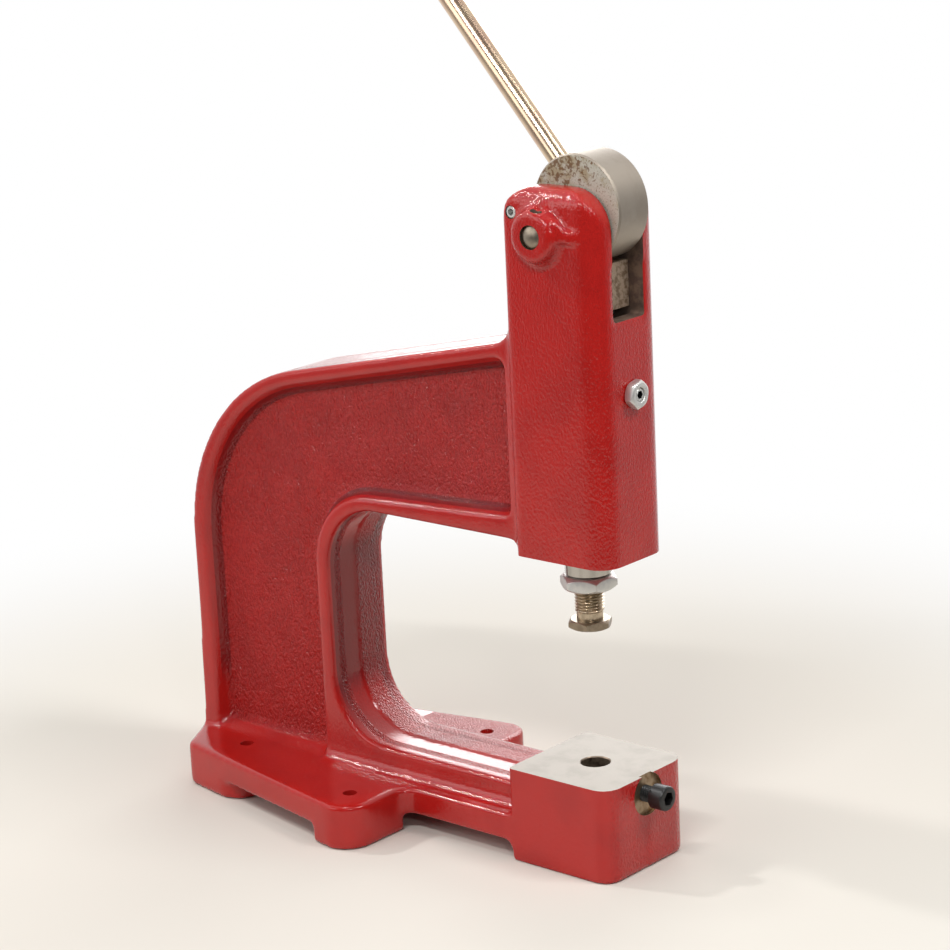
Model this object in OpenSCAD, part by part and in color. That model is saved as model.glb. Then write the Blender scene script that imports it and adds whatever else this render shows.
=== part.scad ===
// Bench hand lever press with an eccentric drum, in millimetres.
// X is the width, -Y is the front and Z is up.
// The origin lies on the bench, straight below the ram's axis.

/* [Frame] */
// From the ram's axis back to the rear wall of the throat
throat_depth = 151; // [130:1:185]
// From the anvil's top up to the underside of the head
daylight = 104.5; // [95:0.5:130]
// Width of the C-shaped arm and column over their flanges
arm_w = 42; // [38:1:45]
// Thickness of the web between the two side recesses
web_w = 24; // [16:1:30]
// From the throat's rear wall to the back of the column
column_l = 94.5; // [85:0.5:120]
// Height of the arm where it meets the head
arm_root_h = 95.4; // [85:0.1:110]
// Fall of the arm's top towards the back, in degrees
arm_fall = 12; // [8:1:15]
// Radius of the big outer bend of the frame
outer_bend_r = 97; // [60:1:100]
// Radius of the two inner bends of the throat
throat_bend_r = 34; // [25:1:38]
// Thickness of the flange on top of the arm
arm_flange = 5.1; // [4:0.1:9]
// Thickness of the flange down the back of the column
column_flange = 8.2; // [6:0.1:12]
// Thickness of the flange round the throat
throat_flange = 6.6; // [4.5:0.1:9]
// Height of the spine's top above the bench
spine_h = 35.3; // [32:0.1:40]

/* [Base] */
// Height of the base slab's top above the bench
slab_top = 22.5; // [20:0.5:26]
// Height of the slab's underside, which the feet lift off the bench
slab_under = 9; // [6:0.5:11]
// Distance between the two front bolt holes
front_hole_pitch = 103.6; // [96:0.2:130]
// How far the front bolt holes lie ahead of the throat's rear wall
front_holes_ahead = 37.5; // [34:0.5:42]
// Distance between the two rear bolt holes
rear_hole_pitch = 61; // [54:0.5:72]
// How far the rear bolt holes lie behind the throat's rear wall
rear_holes_behind = 55.2; // [50:0.2:60]
// Diameter of the four bolt holes
bolt_hole_d = 7; // [5.5:0.5:9]

/* [Anvil] */
// Height of the anvil's machined top above the bench
anvil_h = 46.5; // [44:0.5:60]
// Width of the anvil block
anvil_w = 60; // [54:1:70]
// From the ram's axis to the anvil's front face
anvil_front = 31; // [28:0.5:36]
// From the ram's axis to the anvil's rear face
anvil_back = 29.5; // [26:0.5:34]
// Diameter of the bore that takes the lower die's stem
die_bore_d = 14; // [10:0.5:18]
// Depth of that bore
die_bore_depth = 38; // [30:1:40]

/* [Head] */
// Width of the head
head_w = 47; // [46:0.5:56]
// Height of the head from its underside to the top of its cheeks
head_h = 174; // [168:1:190]
// From the ram's axis to the head's front face
head_front = 29.5; // [28:0.5:34]
// From the ram's axis to the head's rear face
head_back = 24.5; // [20:0.5:28]
// Radius of the head's upright front corners
head_corner_r = 11; // [5:0.5:11.5]
// How far the underside of the arm lies above the head's underside
arm_rise = 6; // [3:0.5:12]
// Height of the window's sill above the head's underside
sill_h = 113.3; // [111:0.1:116]
// Thickness of the wall under the window
front_wall = 8.3; // [7.5:0.1:9]
// Diameter of the bosses that carry the pivot pin
boss_d = 24; // [20:0.5:27]
// How far the bosses stand out of the cheeks
boss_out = 7; // [4:0.5:10]

/* [Drum and lever] */
// Diameter of the eccentric drum
drum_d = 50; // [46:1:52]
// Distance from the pivot pin's axis to the drum's own axis
throw = 15.5; // [10:0.5:16]
// Direction of the throw at rest, counted up from the rear, in degrees
throw_angle = 137; // [130:1:145]
// Diameter of the pivot pin
pin_d = 11; // [8:0.5:13]
// Depth of the pin's axis below the top of the cheeks
pin_below_top = 21; // [18:0.5:24]
// Distance of the pin's axis behind the ram's axis
pin_behind_ram = 2; // [0:0.5:4]
// Diameter of the lever rod
lever_d = 10; // [8:0.5:14]
// Length of the lever from the drum's axis to the end of its knob
lever_l = 262; // [150:1:400]
// Lean of the lever at rest, counted up from the rear, in degrees
lever_angle = 49; // [46:1:70]
// Diameter of the ball knob
knob_d = 34; // [25:1:45]

/* [Ram] */
// Diameter of the ram
ram_d = 22; // [18:0.5:22]
// Height of the flat-sided crosshead at the ram's top
crosshead_h = 21.4; // [18:0.1:24]
// From the ram's axis to the crosshead's front face
crosshead_front = 20.8; // [20:0.1:21]
// From the ram's axis to the crosshead's rear face
crosshead_back = 13; // [11:0.5:16]
// How far the ram stands out below the head at rest
ram_below_head = 10.8; // [6:0.1:16]
// Travel of the ram
stroke = 21.3; // [10:0.1:22]
// Outer diameter of the return spring
spring_d = 7.6; // [6:0.1:7.8]
// Wire diameter of the return spring
spring_wire = 1; // [0.6:0.1:1.2]
// Number of turns of the return spring
spring_turns = 8; // [5:1:9]

/* [Screws] */
// Thread diameter of the die-holding screw
die_screw_d = 14; // [10:1:16]
// Diameter of the socket in that screw for the upper die's stem
die_socket_d = 8; // [5:0.5:9]
// Thread diameter of the clamp screw in the anvil
clamp_screw_d = 8; // [6:0.5:9]
// Height of the clamp screw's axis above the bench
clamp_screw_z = 37; // [34:0.5:38]
// Thread diameter of the guide screw in the head's front
guide_screw_d = 8; // [6:1:10]
// Height of the guide screw above the head's underside
guide_screw_h = 79; // [30:1:79]
// Thread diameter of the stop screw in the left cheek
stop_screw_d = 6; // [4:0.5:6]

/* [Hidden] */
$fn = 64;

// Clearances
running = 0.05;     // a shaft in its hole, on the radius
side_gap = 0.3;     // a flat face that slides past another
drum_gap = 0.8;     // either side of the drum in its slot
seat_gap = 0.3;     // a curved face that rests on another body
cut = 1;            // how far a cut runs past the face that it opens

// Places that several pieces share
head_bottom = anvil_h + daylight;
head_top = head_bottom + head_h;
column_back = throat_depth + column_l;
column_draft = 2;
column_draft_h = 68;
base_back = column_back + column_draft;
arm_under = head_bottom + arm_rise;
pin_z = head_top - pin_below_top;
drum_y = pin_behind_ram + throw * cos(throw_angle);
drum_z = pin_z + throw * sin(throw_angle);
ram_top = drum_z - drum_d / 2 - seat_gap;
crosshead_bottom = ram_top - crosshead_h;
ram_bottom = head_bottom - ram_below_head;
slot_w = ram_d + 2 * side_gap;
drum_w = slot_w - 2 * drum_gap;
slot_back = drum_y + drum_d / 2 + 1.3;
pocket_front = head_front - front_wall;
pocket_floor = crosshead_bottom - stroke - 1;
sill_z = head_bottom + sill_h;
guide_z = head_bottom + guide_screw_h;
front_hole_y = throat_depth - front_holes_ahead;
rear_hole_y = throat_depth + rear_holes_behind;

// Sizes that only one sub-part uses
lug_front_margin = 16.5;
lug_side_margin = 21.7;
lug_r = 14.5;
lug_foot_l = 28;
rear_side_margin = 16;
rear_corner_y = base_back - 14;
rear_foot_ahead = 16;
rear_foot_r = 13;
rear_foot_inner = 18;
recess_wall = 5;
recess_wall_top = 7.5;
recess_front = 3.4;
cheek_front_r = 20;
cheek_back_r = 17;
cheek_edge_r = 8;
head_back_r = 3.5;
boss_flare = 3;
oil_hole_out = 3.4;
oil_hole_ahead = 2;
anvil_corner_r = 9;
spine_cove_r = 7.5;
tongue_cove_r = 4;
spring_y = -(ram_d / 2 + crosshead_front) / 2 - 0.2;
spring_hole_depth = 9.5;
die_screw_engaged = 12;
die_screw_thread = 10.7;
die_screw_relief = 4.3;
die_screw_head_h = 4.2;
die_screw_head_af = 19;
die_nut_h = 6.8;
die_nut_af = 25;
guide_nut_h = 5;
guide_nut_af = 13;
guide_nut_turn = 22;
guide_screw_sunk = 0.8;
clamp_head_d = clamp_screw_d * 1.5;
clamp_head_h = clamp_screw_d;
clamp_standoff = 5.9;
spotface_d = 20.8;
spotface_depth = 1.8;
stop_point_d = 4.5;
stop_angle = -3;
oil_hole_d = 5.2;

// ---- Outlines ----

function unit(v) = v / norm(v);

// The points of an arc of radius r that rounds corner b between a and c
function round_corner(a, b, c, r, steps) =
    let (u = unit(a - b), w = unit(c - b))
    let (half = acos(u * w) / 2)
    let (centre = b + unit(u + w) * r / sin(half))
    let (start = b + u * r / tan(half) - centre, finish = b + w * r / tan(half) - centre)
    let (sweep = (cross(start, finish) > 0 ? 1 : -1) * (180 - 2 * half))
    [for (i = [0:steps]) let (t = sweep * i / steps)
        centre + [start.x * cos(t) - start.y * sin(t), start.x * sin(t) + start.y * cos(t)]];

function place(corner) = [corner[0], corner[1]];

// An outline from corners [x, y, radius]; a corner of radius 0 stays sharp
function rounded(corners, steps = 10) =
    let (n = len(corners))
    [for (i = [0:n - 1])
        let (a = place(corners[(i + n - 1) % n]), b = place(corners[i]), c = place(corners[(i + 1) % n]))
        each corners[i][2] > 0 ? round_corner(a, b, c, corners[i][2], steps) : [b]];

// The same corners, counter-clockwise, with the edge after corner i moved inwards by walls[i]
function inset(corners, walls) =
    let (n = len(corners))
    [for (i = [0:n - 1])
        let (a = place(corners[(i + n - 1) % n]), b = place(corners[i]), c = place(corners[(i + 1) % n]))
        let (u = unit(b - a), w = unit(c - b), nu = [-u.y, u.x], nw = [-w.y, w.x])
        let (du = walls[(i + n - 1) % n], dw = walls[i], k = nu * nw)
        let (p = b + (nu * (du - dw * k) + nw * (dw - du * k)) / (1 - k * k))
        let (r = corners[i][2], d = min(du, dw))
        [p.x, p.y, cross(u, w) > 0 ? max(r - d, 0.5) : r + d]];

// Corners on the right, followed by their mirror images on the left
function both_sides(corners) =
    let (n = len(corners))
    concat(corners, [for (i = [n - 1:-1:0]) [-corners[i][0], corners[i][1], corners[i][2]]]);

// Height of the arm's top at a place along it
function arm_top(y) = head_bottom + arm_rise + arm_root_h - tan(arm_fall) * (y - head_back);

// ---- Shapes that repeat ----

// A side outline in (Y, Z), made w thick and centred on X
module side_plate(outline, w) {
    rotate([90, 0, 90]) linear_extrude(w, center = true) polygon(outline);
}

// The section of a cove that swells from one wall into another
module cove(r) {
    difference() {
        square(r + 0.5);
        translate([r + 0.5, r + 0.5]) circle(r = r);
    }
}

// A cylinder along X or Y that starts at the given place
module rod_x(d, length) { rotate([0, 90, 0]) cylinder(d = d, h = length); }
module rod_y(d, length) { rotate([-90, 0, 0]) cylinder(d = d, h = length); }

// A hexagonal prism along Z, given across its flats
module hex(af, h) { cylinder(d = af / cos(30), h = h, $fn = 6); }

// A hexagon nut or head along Z whose corners are turned off at both ends
module hex_body(af, h) {
    chamfer = af * 0.06;
    intersection() {
        hex(af, h);
        rotate_extrude() polygon([
            [0, 0], [af / 2 * 0.97, 0], [af / 2 * 0.97 + 2 * chamfer, chamfer],
            [af / 2 * 0.97 + 2 * chamfer, h - chamfer], [af / 2 * 0.97, h], [0, h]
        ]);
    }
}

// A round bar along Z with a chamfer at each end
module turned_bar(d, h, chamfer) {
    rotate_extrude() polygon([
        [0, 0], [d / 2 - chamfer, 0], [d / 2, chamfer],
        [d / 2, h - chamfer], [d / 2 - chamfer, h], [0, h]
    ]);
}

// The hollow in a side of the arm and column: open rim outside, smaller floor on the web.
// Its six corners run from the inner foot up the back and along the arm to the throat's bend.
module lofted_recess(corners, walls, floor_x, rim_x) {
    steps = 12;
    rim = rounded(corners, steps);
    floor = rounded(inset(corners, walls), steps);
    n = len(rim);
    m = steps + 1;
    // An end of the hollow as the column's part, a fan through the bend and the arm's part
    column = concat([for (i = [0:2 * m]) i], [n - 1]);
    arm = concat([for (i = [3 * m - 1:5 * m]) i]);
    bend = [for (j = [0:steps - 1]) [2 * m + j, 2 * m + j + 1, n - 2 - j, n - 1 - j]];
    end = concat([column], bend, [arm]);
    polyhedron(
        points = concat([for (p = rim) [rim_x, p.x, p.y]], [for (p = floor) [floor_x, p.x, p.y]]),
        faces = concat(
            [for (f = end) [for (i = [len(f) - 1:-1:0]) f[i]]],
            [for (f = end) [for (i = f) n + i]],
            [for (i = [0:n - 1]) [i, (i + 1) % n, n + (i + 1) % n, n + i]]
        )
    );
}

// ---- Frame casting ----

// The C from the spine, up the column and along the arm into the head
module c_plate() {
    back_bend = [column_back, arm_top(column_back), outer_bend_r];
    side_plate(rounded([
        [anvil_back - 8, slab_under, 0],
        [base_back, slab_under, 0],
        [base_back, slab_top, 0],
        [column_back, slab_top + column_draft_h, 0],
        back_bend,
        [head_back, arm_top(head_back), 12],
        [head_back, arm_top(head_back) + 20, 0],
        [0, arm_top(head_back) + 20, 0],
        [0, head_bottom, 0],
        [head_back, head_bottom, 0],
        [head_back, arm_under, 5],
        [throat_depth, arm_under, throat_bend_r],
        [throat_depth, spine_h, throat_bend_r],
        [anvil_back - 8, spine_h, 0]
    ], 18), arm_w);
}

// The web panel between the flanges, on both sides
module side_recesses() {
    front = head_back + recess_front;
    back = column_back - column_flange;
    inner = throat_depth + throat_flange;
    flange = arm_flange / cos(arm_fall);
    corners = [
        [inner, slab_top, 5],
        [back, slab_top, 5],
        [back, arm_top(back) - flange, outer_bend_r - column_flange],
        [front, arm_top(front) - flange, 6],
        [front, arm_under + throat_flange + 3.5, 5],
        [inner, arm_under + throat_flange - 3, throat_bend_r + 4]
    ];
    walls = [recess_wall, recess_wall, recess_wall_top, recess_wall, recess_wall, recess_wall];
    for (side = [0, 1])
        mirror([side, 0, 0]) lofted_recess(corners, walls, web_w / 2, arm_w / 2 + cut);
}

// Half of the slab's outline, seen from above
base_corners = [
    [anvil_w / 2, 0, 0],
    [anvil_w / 2, front_hole_y - lug_front_margin, 8],
    [front_hole_pitch / 2 + lug_side_margin, front_hole_y - lug_front_margin, lug_r],
    [rear_hole_pitch / 2 + rear_side_margin, rear_corner_y, 6],
    [arm_w / 2 + 1, base_back, 6]
];

module base_outline() { polygon(rounded(both_sides(base_corners))); }

module base_slab() {
    translate([0, 0, slab_under]) linear_extrude(slab_top - slab_under) base_outline();
    // Four feet under the bolt holes
    linear_extrude(slab_under) intersection() {
        base_outline();
        for (side = [-1, 1]) {
            translate([side * (anvil_w / 2 + cut), front_hole_y - lug_front_margin])
                mirror([side < 0 ? 1 : 0, 0]) square([front_hole_pitch, lug_foot_l]);
            polygon([for (p = rear_foot) [side * p.x, p.y]]);
        }
    }
}

// Outline of a rear foot, which the slab's own outline trims
rear_foot = rounded([
    [rear_foot_inner, rear_hole_y - rear_foot_ahead, 3],
    [rear_hole_pitch / 2 + rear_side_margin + 5.5, rear_hole_y - rear_foot_ahead, rear_foot_r],
    [rear_hole_pitch / 2 + rear_side_margin + 5.5, base_back + cut, 0],
    [rear_foot_inner, base_back + cut, 0]
]);

// The foot of the spine swells into the slab on both sides
module spine_coves() {
    length = throat_depth + throat_flange - anvil_back + 4;
    for (side = [0, 1])
        mirror([side, 0, 0])
        translate([arm_w / 2 - 0.5, anvil_back - 4 + length, slab_top - 0.5])
        rotate([90, 0, 0]) linear_extrude(length) cove(spine_cove_r);
}

module anvil_block() {
    // Cove under the tongue, where it leaves the anvil
    translate([-anvil_w / 2, anvil_back - 0.5, slab_under + 0.5]) rotate([0, 90, 0]) linear_extrude(anvil_w)
        cove(tongue_cove_r);
    linear_extrude(anvil_h) polygon(rounded([
        [-anvil_w / 2, -anvil_front, anvil_corner_r],
        [anvil_w / 2, -anvil_front, anvil_corner_r],
        [anvil_w / 2, anvil_back, 1.5],
        [-anvil_w / 2, anvil_back, 1.5]
    ]));
}

// The head is its outline from above, cut to its side view and to its front view
module head_block() {
    intersection() {
        translate([0, 0, head_bottom]) linear_extrude(head_h) polygon(rounded([
            [-head_w / 2, -head_front, head_corner_r],
            [head_w / 2, -head_front, head_corner_r],
            [head_w / 2, head_back, head_back_r],
            [-head_w / 2, head_back, head_back_r]
        ]));
        side_plate(rounded([
            [-head_front - cut, head_bottom - cut, 0],
            [head_back + cut, head_bottom - cut, 0],
            [head_back + cut, head_top - cheek_back_r, 0],
            [head_back, head_top - cheek_back_r, 0],
            [head_back, head_top, cheek_back_r],
            [-head_front, head_top, cheek_front_r],
            [-head_front, head_top - cheek_front_r, 0],
            [-head_front - cut, head_top - cheek_front_r, 0]
        ], 14), head_w + 2);
        translate([0, head_back + cut]) rotate([90, 0, 0]) linear_extrude(head_front + head_back + 2 * cut)
            polygon(rounded([
                [-head_w / 2 - cut, head_bottom - cut, 0],
                [head_w / 2 + cut, head_bottom - cut, 0],
                [head_w / 2 + cut, head_top - cheek_edge_r, 0],
                [head_w / 2, head_top - cheek_edge_r, 0],
                [head_w / 2, head_top, cheek_edge_r],
                [-head_w / 2, head_top, cheek_edge_r],
                [-head_w / 2, head_top - cheek_edge_r, 0],
                [-head_w / 2 - cut, head_top - cheek_edge_r, 0]
            ]));
    }
}

// The pin's flared boss on a cheek, with the fin that runs forward from it
module pin_boss() {
    cheek = head_w / 2;
    face_r = boss_d / 2;
    foot_r = face_r + boss_flare;
    translate([cheek, pin_behind_ram, pin_z]) rotate([0, 90, 0]) rotate_extrude() polygon([
        [0, -4], [foot_r, -4], [foot_r, 0], [face_r + 0.8, 2],
        [face_r, boss_out - 2.4], [face_r - 0.7, boss_out - 0.7], [face_r - 2.4, boss_out], [0, boss_out]
    ]);
    fin_l = foot_r + 8;
    intersection() {
        translate([0, 0, pin_z - 2]) linear_extrude(foot_r) polygon([
            [cheek - 4, pin_behind_ram],
            [cheek - 4, pin_behind_ram - fin_l],
            [cheek, pin_behind_ram - fin_l],
            [cheek + boss_out - 2.4, pin_behind_ram - face_r + 1],
            [cheek + boss_out - 2.4, pin_behind_ram]
        ]);
        // The fin's top falls from the boss's flare to its thin tip
        translate([cheek - 5, pin_behind_ram, pin_z]) rotate([90, 0, 90]) linear_extrude(boss_out + 6)
            polygon([
                [-fin_l - cut, -3], [0, -3], [0, face_r],
                [-foot_r * 0.8, foot_r * 0.5], [-foot_r - 1.5, 3], [-fin_l - cut, 1.5]
            ]);
    }
}

// The slot for the drum, open at the top and as a window in front, and the pocket below it
module head_slot() {
    rotate([90, 0, 0]) translate([0, 0, pocket_front - cut])
        linear_extrude(front_wall + 2 * cut) polygon(rounded([
            [-slot_w / 2, sill_z, 2], [slot_w / 2, sill_z, 2],
            [slot_w / 2, head_top + cut, 0], [-slot_w / 2, head_top + cut, 0]
        ]));
    translate([-slot_w / 2, -pocket_front, pocket_floor])
        cube([slot_w, pocket_front + slot_back, head_top - pocket_floor + cut]);
}

module frame_bores() {
    // Ram, return spring and pivot pin
    translate([0, 0, head_bottom - cut])
        cylinder(r = ram_d / 2 + running, h = pocket_floor - head_bottom + 2 * cut);
    translate([0, spring_y, pocket_floor - spring_hole_depth])
        cylinder(d = spring_d + 0.6, h = spring_hole_depth + cut);
    translate([-head_w, pin_behind_ram, pin_z]) rod_x(pin_d + 2 * running, 2 * head_w);
    // Oil holes on top of the bosses
    for (side = [-1, 1])
        translate([side * (head_w / 2 + oil_hole_out), pin_behind_ram - oil_hole_ahead, pin_z])
            cylinder(d = oil_hole_d, h = boss_d);
    // Guide screw and stop screw
    translate([0, -head_front - cut, guide_z]) rod_y(guide_screw_d + 2 * running, head_front);
    translate([-head_w / 2 - cut, stop_y, stop_z]) {
        rod_x(stop_screw_d + 2 * running, (head_w - slot_w) / 2 + cut);
        rod_x(stop_point_d + 2 * seat_gap, head_w / 2 - slot_w / 4 + 2 * cut);
    }
    // Lower die and its clamp screw
    translate([0, 0, anvil_h - die_bore_depth]) cylinder(d = die_bore_d, h = die_bore_depth + cut);
    translate([0, 0, anvil_h - 0.5]) cylinder(d1 = die_bore_d, d2 = die_bore_d + 1.5, h = 0.75);
    translate([0, -anvil_front - cut, clamp_screw_z]) rod_y(clamp_screw_d + 2 * running, anvil_front);
    translate([0, -anvil_front - cut, clamp_screw_z]) rod_y(spotface_d, spotface_depth + cut);
    // Bolts through the lugs
    for (side = [-1, 1], row = [[front_hole_pitch, front_hole_y], [rear_hole_pitch, rear_hole_y]])
        translate([side * row[0] / 2, row[1], -cut]) cylinder(d = bolt_hole_d, h = slab_top + 2 * cut);
}

module frame() {
    color("firebrick") difference() {
        union() {
            difference() {
                c_plate();
                side_recesses();
            }
            base_slab();
            spine_coves();
            anvil_block();
            head_block();
            for (side = [0, 1]) mirror([side, 0, 0]) pin_boss();
        }
        head_slot();
        frame_bores();
    }
}

// ---- Drum, pin and lever ----

// Where the stop screw's point stands behind the drum's rim
stop_reach = drum_d / 2 + stop_point_d / 2 + seat_gap;
stop_y = drum_y + stop_reach * cos(stop_angle);
stop_z = drum_z + stop_reach * sin(stop_angle);

module pivot_pin() {
    length = head_w + 2 * boss_out;
    color("dimgray") translate([0, pin_behind_ram, pin_z]) rotate([0, 90, 0]) intersection() {
        cylinder(d = pin_d, h = length, center = true);
        // Domed ends
        sphere(r = length / 2, $fn = 96);
        cylinder(d = pin_d + 2, h = length - 0.1, center = true);
    }
}

// Turns a shape that stands on the drum's axis along Z into the lever's direction
module along_lever() { translate([0, drum_y, drum_z]) rotate([lever_angle - 90, 0, 0]) children(); }

lever_root = drum_d / 2 - 14;
knob_grip = 18;
lever_end = lever_l - knob_d + knob_grip;

module eccentric_drum() {
    color("darkgray") difference() {
        translate([0, drum_y, drum_z]) rotate([0, 90, 0])
            translate([0, 0, -drum_w / 2]) turned_bar(drum_d, drum_w, 0.8);
        translate([-drum_w, pin_behind_ram, pin_z]) rod_x(pin_d + 2 * running, 2 * drum_w);
        along_lever() translate([0, 0, lever_root - 0.5]) cylinder(d = lever_d + 2 * running, h = drum_d);
    }
}

module lever_rod() {
    color("khaki") along_lever()
        translate([0, 0, lever_root]) turned_bar(lever_d, lever_end - lever_root, 0.8);
}

module lever_knob() {
    color("black") along_lever() difference() {
        intersection() {
            translate([0, 0, lever_l - knob_d / 2]) sphere(d = knob_d, $fn = 96);
            translate([0, 0, lever_l - knob_d + 1.6]) cylinder(d = knob_d + 1, h = knob_d);
        }
        translate([0, 0, lever_l - knob_d - cut])
            cylinder(d = lever_d + 2 * running, h = knob_grip + cut + 0.3);
    }
}

// ---- Ram and its screws ----

module ram() {
    tapped_depth = die_screw_engaged + 16;
    color("silver") difference() {
        union() {
            translate([0, 0, ram_bottom]) turned_bar(ram_d, crosshead_bottom - ram_bottom + 3, 1);
            // Crosshead that the drum bears on
            translate([-ram_d / 2, -crosshead_front, crosshead_bottom])
                cube([ram_d, crosshead_front + crosshead_back, crosshead_h]);
        }
        translate([0, 0, ram_bottom - cut]) cylinder(d = die_screw_d + 2 * running, h = tapped_depth + cut);
    }
}

// Points of one ring of the spring's wire, at a share t of its length
function spring_ring(t, length, sides) =
    let (turn = 360 * spring_turns * t)
    let (coil_r = (spring_d - spring_wire) / 2)
    let (z = spring_wire / 2 + t * (length - spring_wire))
    [for (i = [0:sides - 1]) let (a = 360 * i / sides)
        let (r = coil_r + spring_wire / 2 * cos(a))
        [r * cos(turn), r * sin(turn), z + spring_wire / 2 * sin(a)]];

module return_spring() {
    sides = 8;
    rings = spring_turns * 16;
    length = crosshead_bottom - (pocket_floor - spring_hole_depth) - 2 * seat_gap;
    points = [for (k = [0:rings]) each spring_ring(k / rings, length, sides)];
    faces = concat(
        [[for (i = [0:sides - 1]) i]],
        [[for (i = [sides - 1:-1:0]) rings * sides + i]],
        [for (k = [0:rings - 1]) for (i = [0:sides - 1])
            let (a = k * sides + i, b = k * sides + (i + 1) % sides) [b, a, a + sides, b + sides]]
    );
    color("lightgray") translate([0, spring_y, pocket_floor - spring_hole_depth + seat_gap])
        polyhedron(points = points, faces = faces);
}

module die_lock_nut() {
    color("silver") translate([0, 0, ram_bottom - die_nut_h]) difference() {
        hex_body(die_nut_af, die_nut_h);
        translate([0, 0, -cut]) cylinder(d = die_screw_d + 2 * running, h = die_nut_h + 2 * cut);
    }
}

// Hollow screw whose hexagon head holds the upper die
module die_holder_screw() {
    below = die_nut_h + die_screw_thread + die_screw_relief;
    head_z = ram_bottom - below - die_screw_head_h;
    color("darkkhaki") difference() {
        union() {
            translate([0, 0, head_z]) rotate([0, 0, 30]) hex_body(die_screw_head_af, die_screw_head_h);
            translate([0, 0, head_z + cut])
                cylinder(d = die_screw_d * 0.9, h = die_screw_relief + die_screw_head_h);
            translate([0, 0, head_z + die_screw_head_h + die_screw_relief])
                turned_bar(die_screw_d, die_screw_thread + die_nut_h + die_screw_engaged, 1);
        }
        translate([0, 0, head_z - cut]) cylinder(d = die_socket_d, h = 20 + cut);
    }
}

module guide_screw() {
    out = guide_nut_h - guide_screw_sunk;
    length = head_front - ram_d / 2 - seat_gap + out;
    color("gainsboro") translate([0, -head_front - out, guide_z]) rotate([-90, 0, 0]) difference() {
        turned_bar(guide_screw_d, length, 0.8);
        translate([0, 0, -cut]) hex(guide_screw_d / 2, 5 + cut);
    }
}

module guide_lock_nut() {
    color("gainsboro") translate([0, -head_front, guide_z]) rotate([90, 0, 0]) rotate([0, 0, guide_nut_turn])
    difference() {
        hex_body(guide_nut_af, guide_nut_h);
        translate([0, 0, -cut]) cylinder(d = guide_screw_d + 2 * running, h = guide_nut_h + 2 * cut);
    }
}

// Stops the drum when the lever comes back
module stop_screw() {
    thread_l = (head_w - slot_w) / 2 - 0.4;
    color("gainsboro") translate([-head_w / 2 + 0.2, stop_y, stop_z]) rotate([0, 90, 0]) difference() {
        union() {
            turned_bar(stop_screw_d, thread_l, 0.6);
            cylinder(d = stop_point_d, h = thread_l + slot_w / 4);
        }
        translate([0, 0, -cut]) hex(stop_screw_d / 2, 3.5 + cut);
    }
}

module clamp_screw() {
    seat = -anvil_front + spotface_depth;
    tip = -die_bore_d / 2 - 0.4;
    head_y = seat - clamp_standoff;
    color("#2b2b2b") translate([0, head_y, clamp_screw_z]) rotate([-90, 0, 0]) difference() {
        union() {
            translate([0, 0, -clamp_head_h]) turned_bar(clamp_head_d, clamp_head_h, 0.7);
            translate([0, 0, -1]) turned_bar(clamp_screw_d, tip - head_y + 1, 0.8);
        }
        translate([0, 0, -clamp_head_h - cut]) hex(clamp_screw_d * 0.76, clamp_head_h / 2 + cut);
    }
}

frame();
pivot_pin();
eccentric_drum();
lever_rod();
lever_knob();
ram();
return_spring();
die_lock_nut();
die_holder_screw();
guide_screw();
guide_lock_nut();
stop_screw();
clamp_screw();
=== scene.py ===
"""Looks of a bench hand lever press: an enamelled iron casting with bare steel working parts."""

import logging
import math
from dataclasses import dataclass
from enum import Enum
from typing import Callable, Iterable, Sequence

import bmesh
import bpy
from mathutils import Matrix, Vector
from mathutils.noise import noise as noise_at


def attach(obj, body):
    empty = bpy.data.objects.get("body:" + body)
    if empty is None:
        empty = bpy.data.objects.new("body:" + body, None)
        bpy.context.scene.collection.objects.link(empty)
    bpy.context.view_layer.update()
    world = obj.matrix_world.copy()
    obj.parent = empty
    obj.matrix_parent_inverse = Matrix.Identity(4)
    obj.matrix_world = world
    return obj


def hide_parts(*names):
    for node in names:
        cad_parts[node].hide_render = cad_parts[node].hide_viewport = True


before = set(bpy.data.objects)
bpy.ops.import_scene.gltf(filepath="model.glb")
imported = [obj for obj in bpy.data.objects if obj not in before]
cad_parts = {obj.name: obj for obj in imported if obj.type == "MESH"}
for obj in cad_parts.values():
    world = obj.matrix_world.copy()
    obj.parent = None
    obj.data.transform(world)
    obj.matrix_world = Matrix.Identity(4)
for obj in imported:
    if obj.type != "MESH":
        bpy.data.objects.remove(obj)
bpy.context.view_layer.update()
log = logging.getLogger("press")

MM = 0.001
Point = tuple[float, float]
Piece = bpy.types.Object
Shape = bmesh.types.BMesh
Tree = bpy.types.NodeTree
Socket = bpy.types.NodeSocket
Input = float | tuple | Socket


class Axis(Enum):
    """The way a turned piece points."""

    RIGHT = "right"
    BACK = "back"
    UP = "up"

    def matrix(self) -> Matrix:
        """Turns a shape that was made along Z into this direction."""
        turns = {
            Axis.RIGHT: Matrix.Rotation(math.radians(90), 4, "Y"),
            Axis.BACK: Matrix.Rotation(math.radians(-90), 4, "X"),
            Axis.UP: Matrix.Identity(4),
        }
        return turns[self]


# ---- Colours and nodes ----

MULTIPLY, MULTIPLY_ADD, ADD, SUBTRACT, MAXIMUM, ABSOLUTE, DOT, LENGTH = (
    {"operation": name}
    for name in "MULTIPLY MULTIPLY_ADD ADD SUBTRACT MAXIMUM ABSOLUTE DOT_PRODUCT LENGTH".split()
)
SMOOTHLY = {"interpolation_type": "SMOOTHSTEP"}
COLOURS = {"data_type": "RGBA"}


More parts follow.
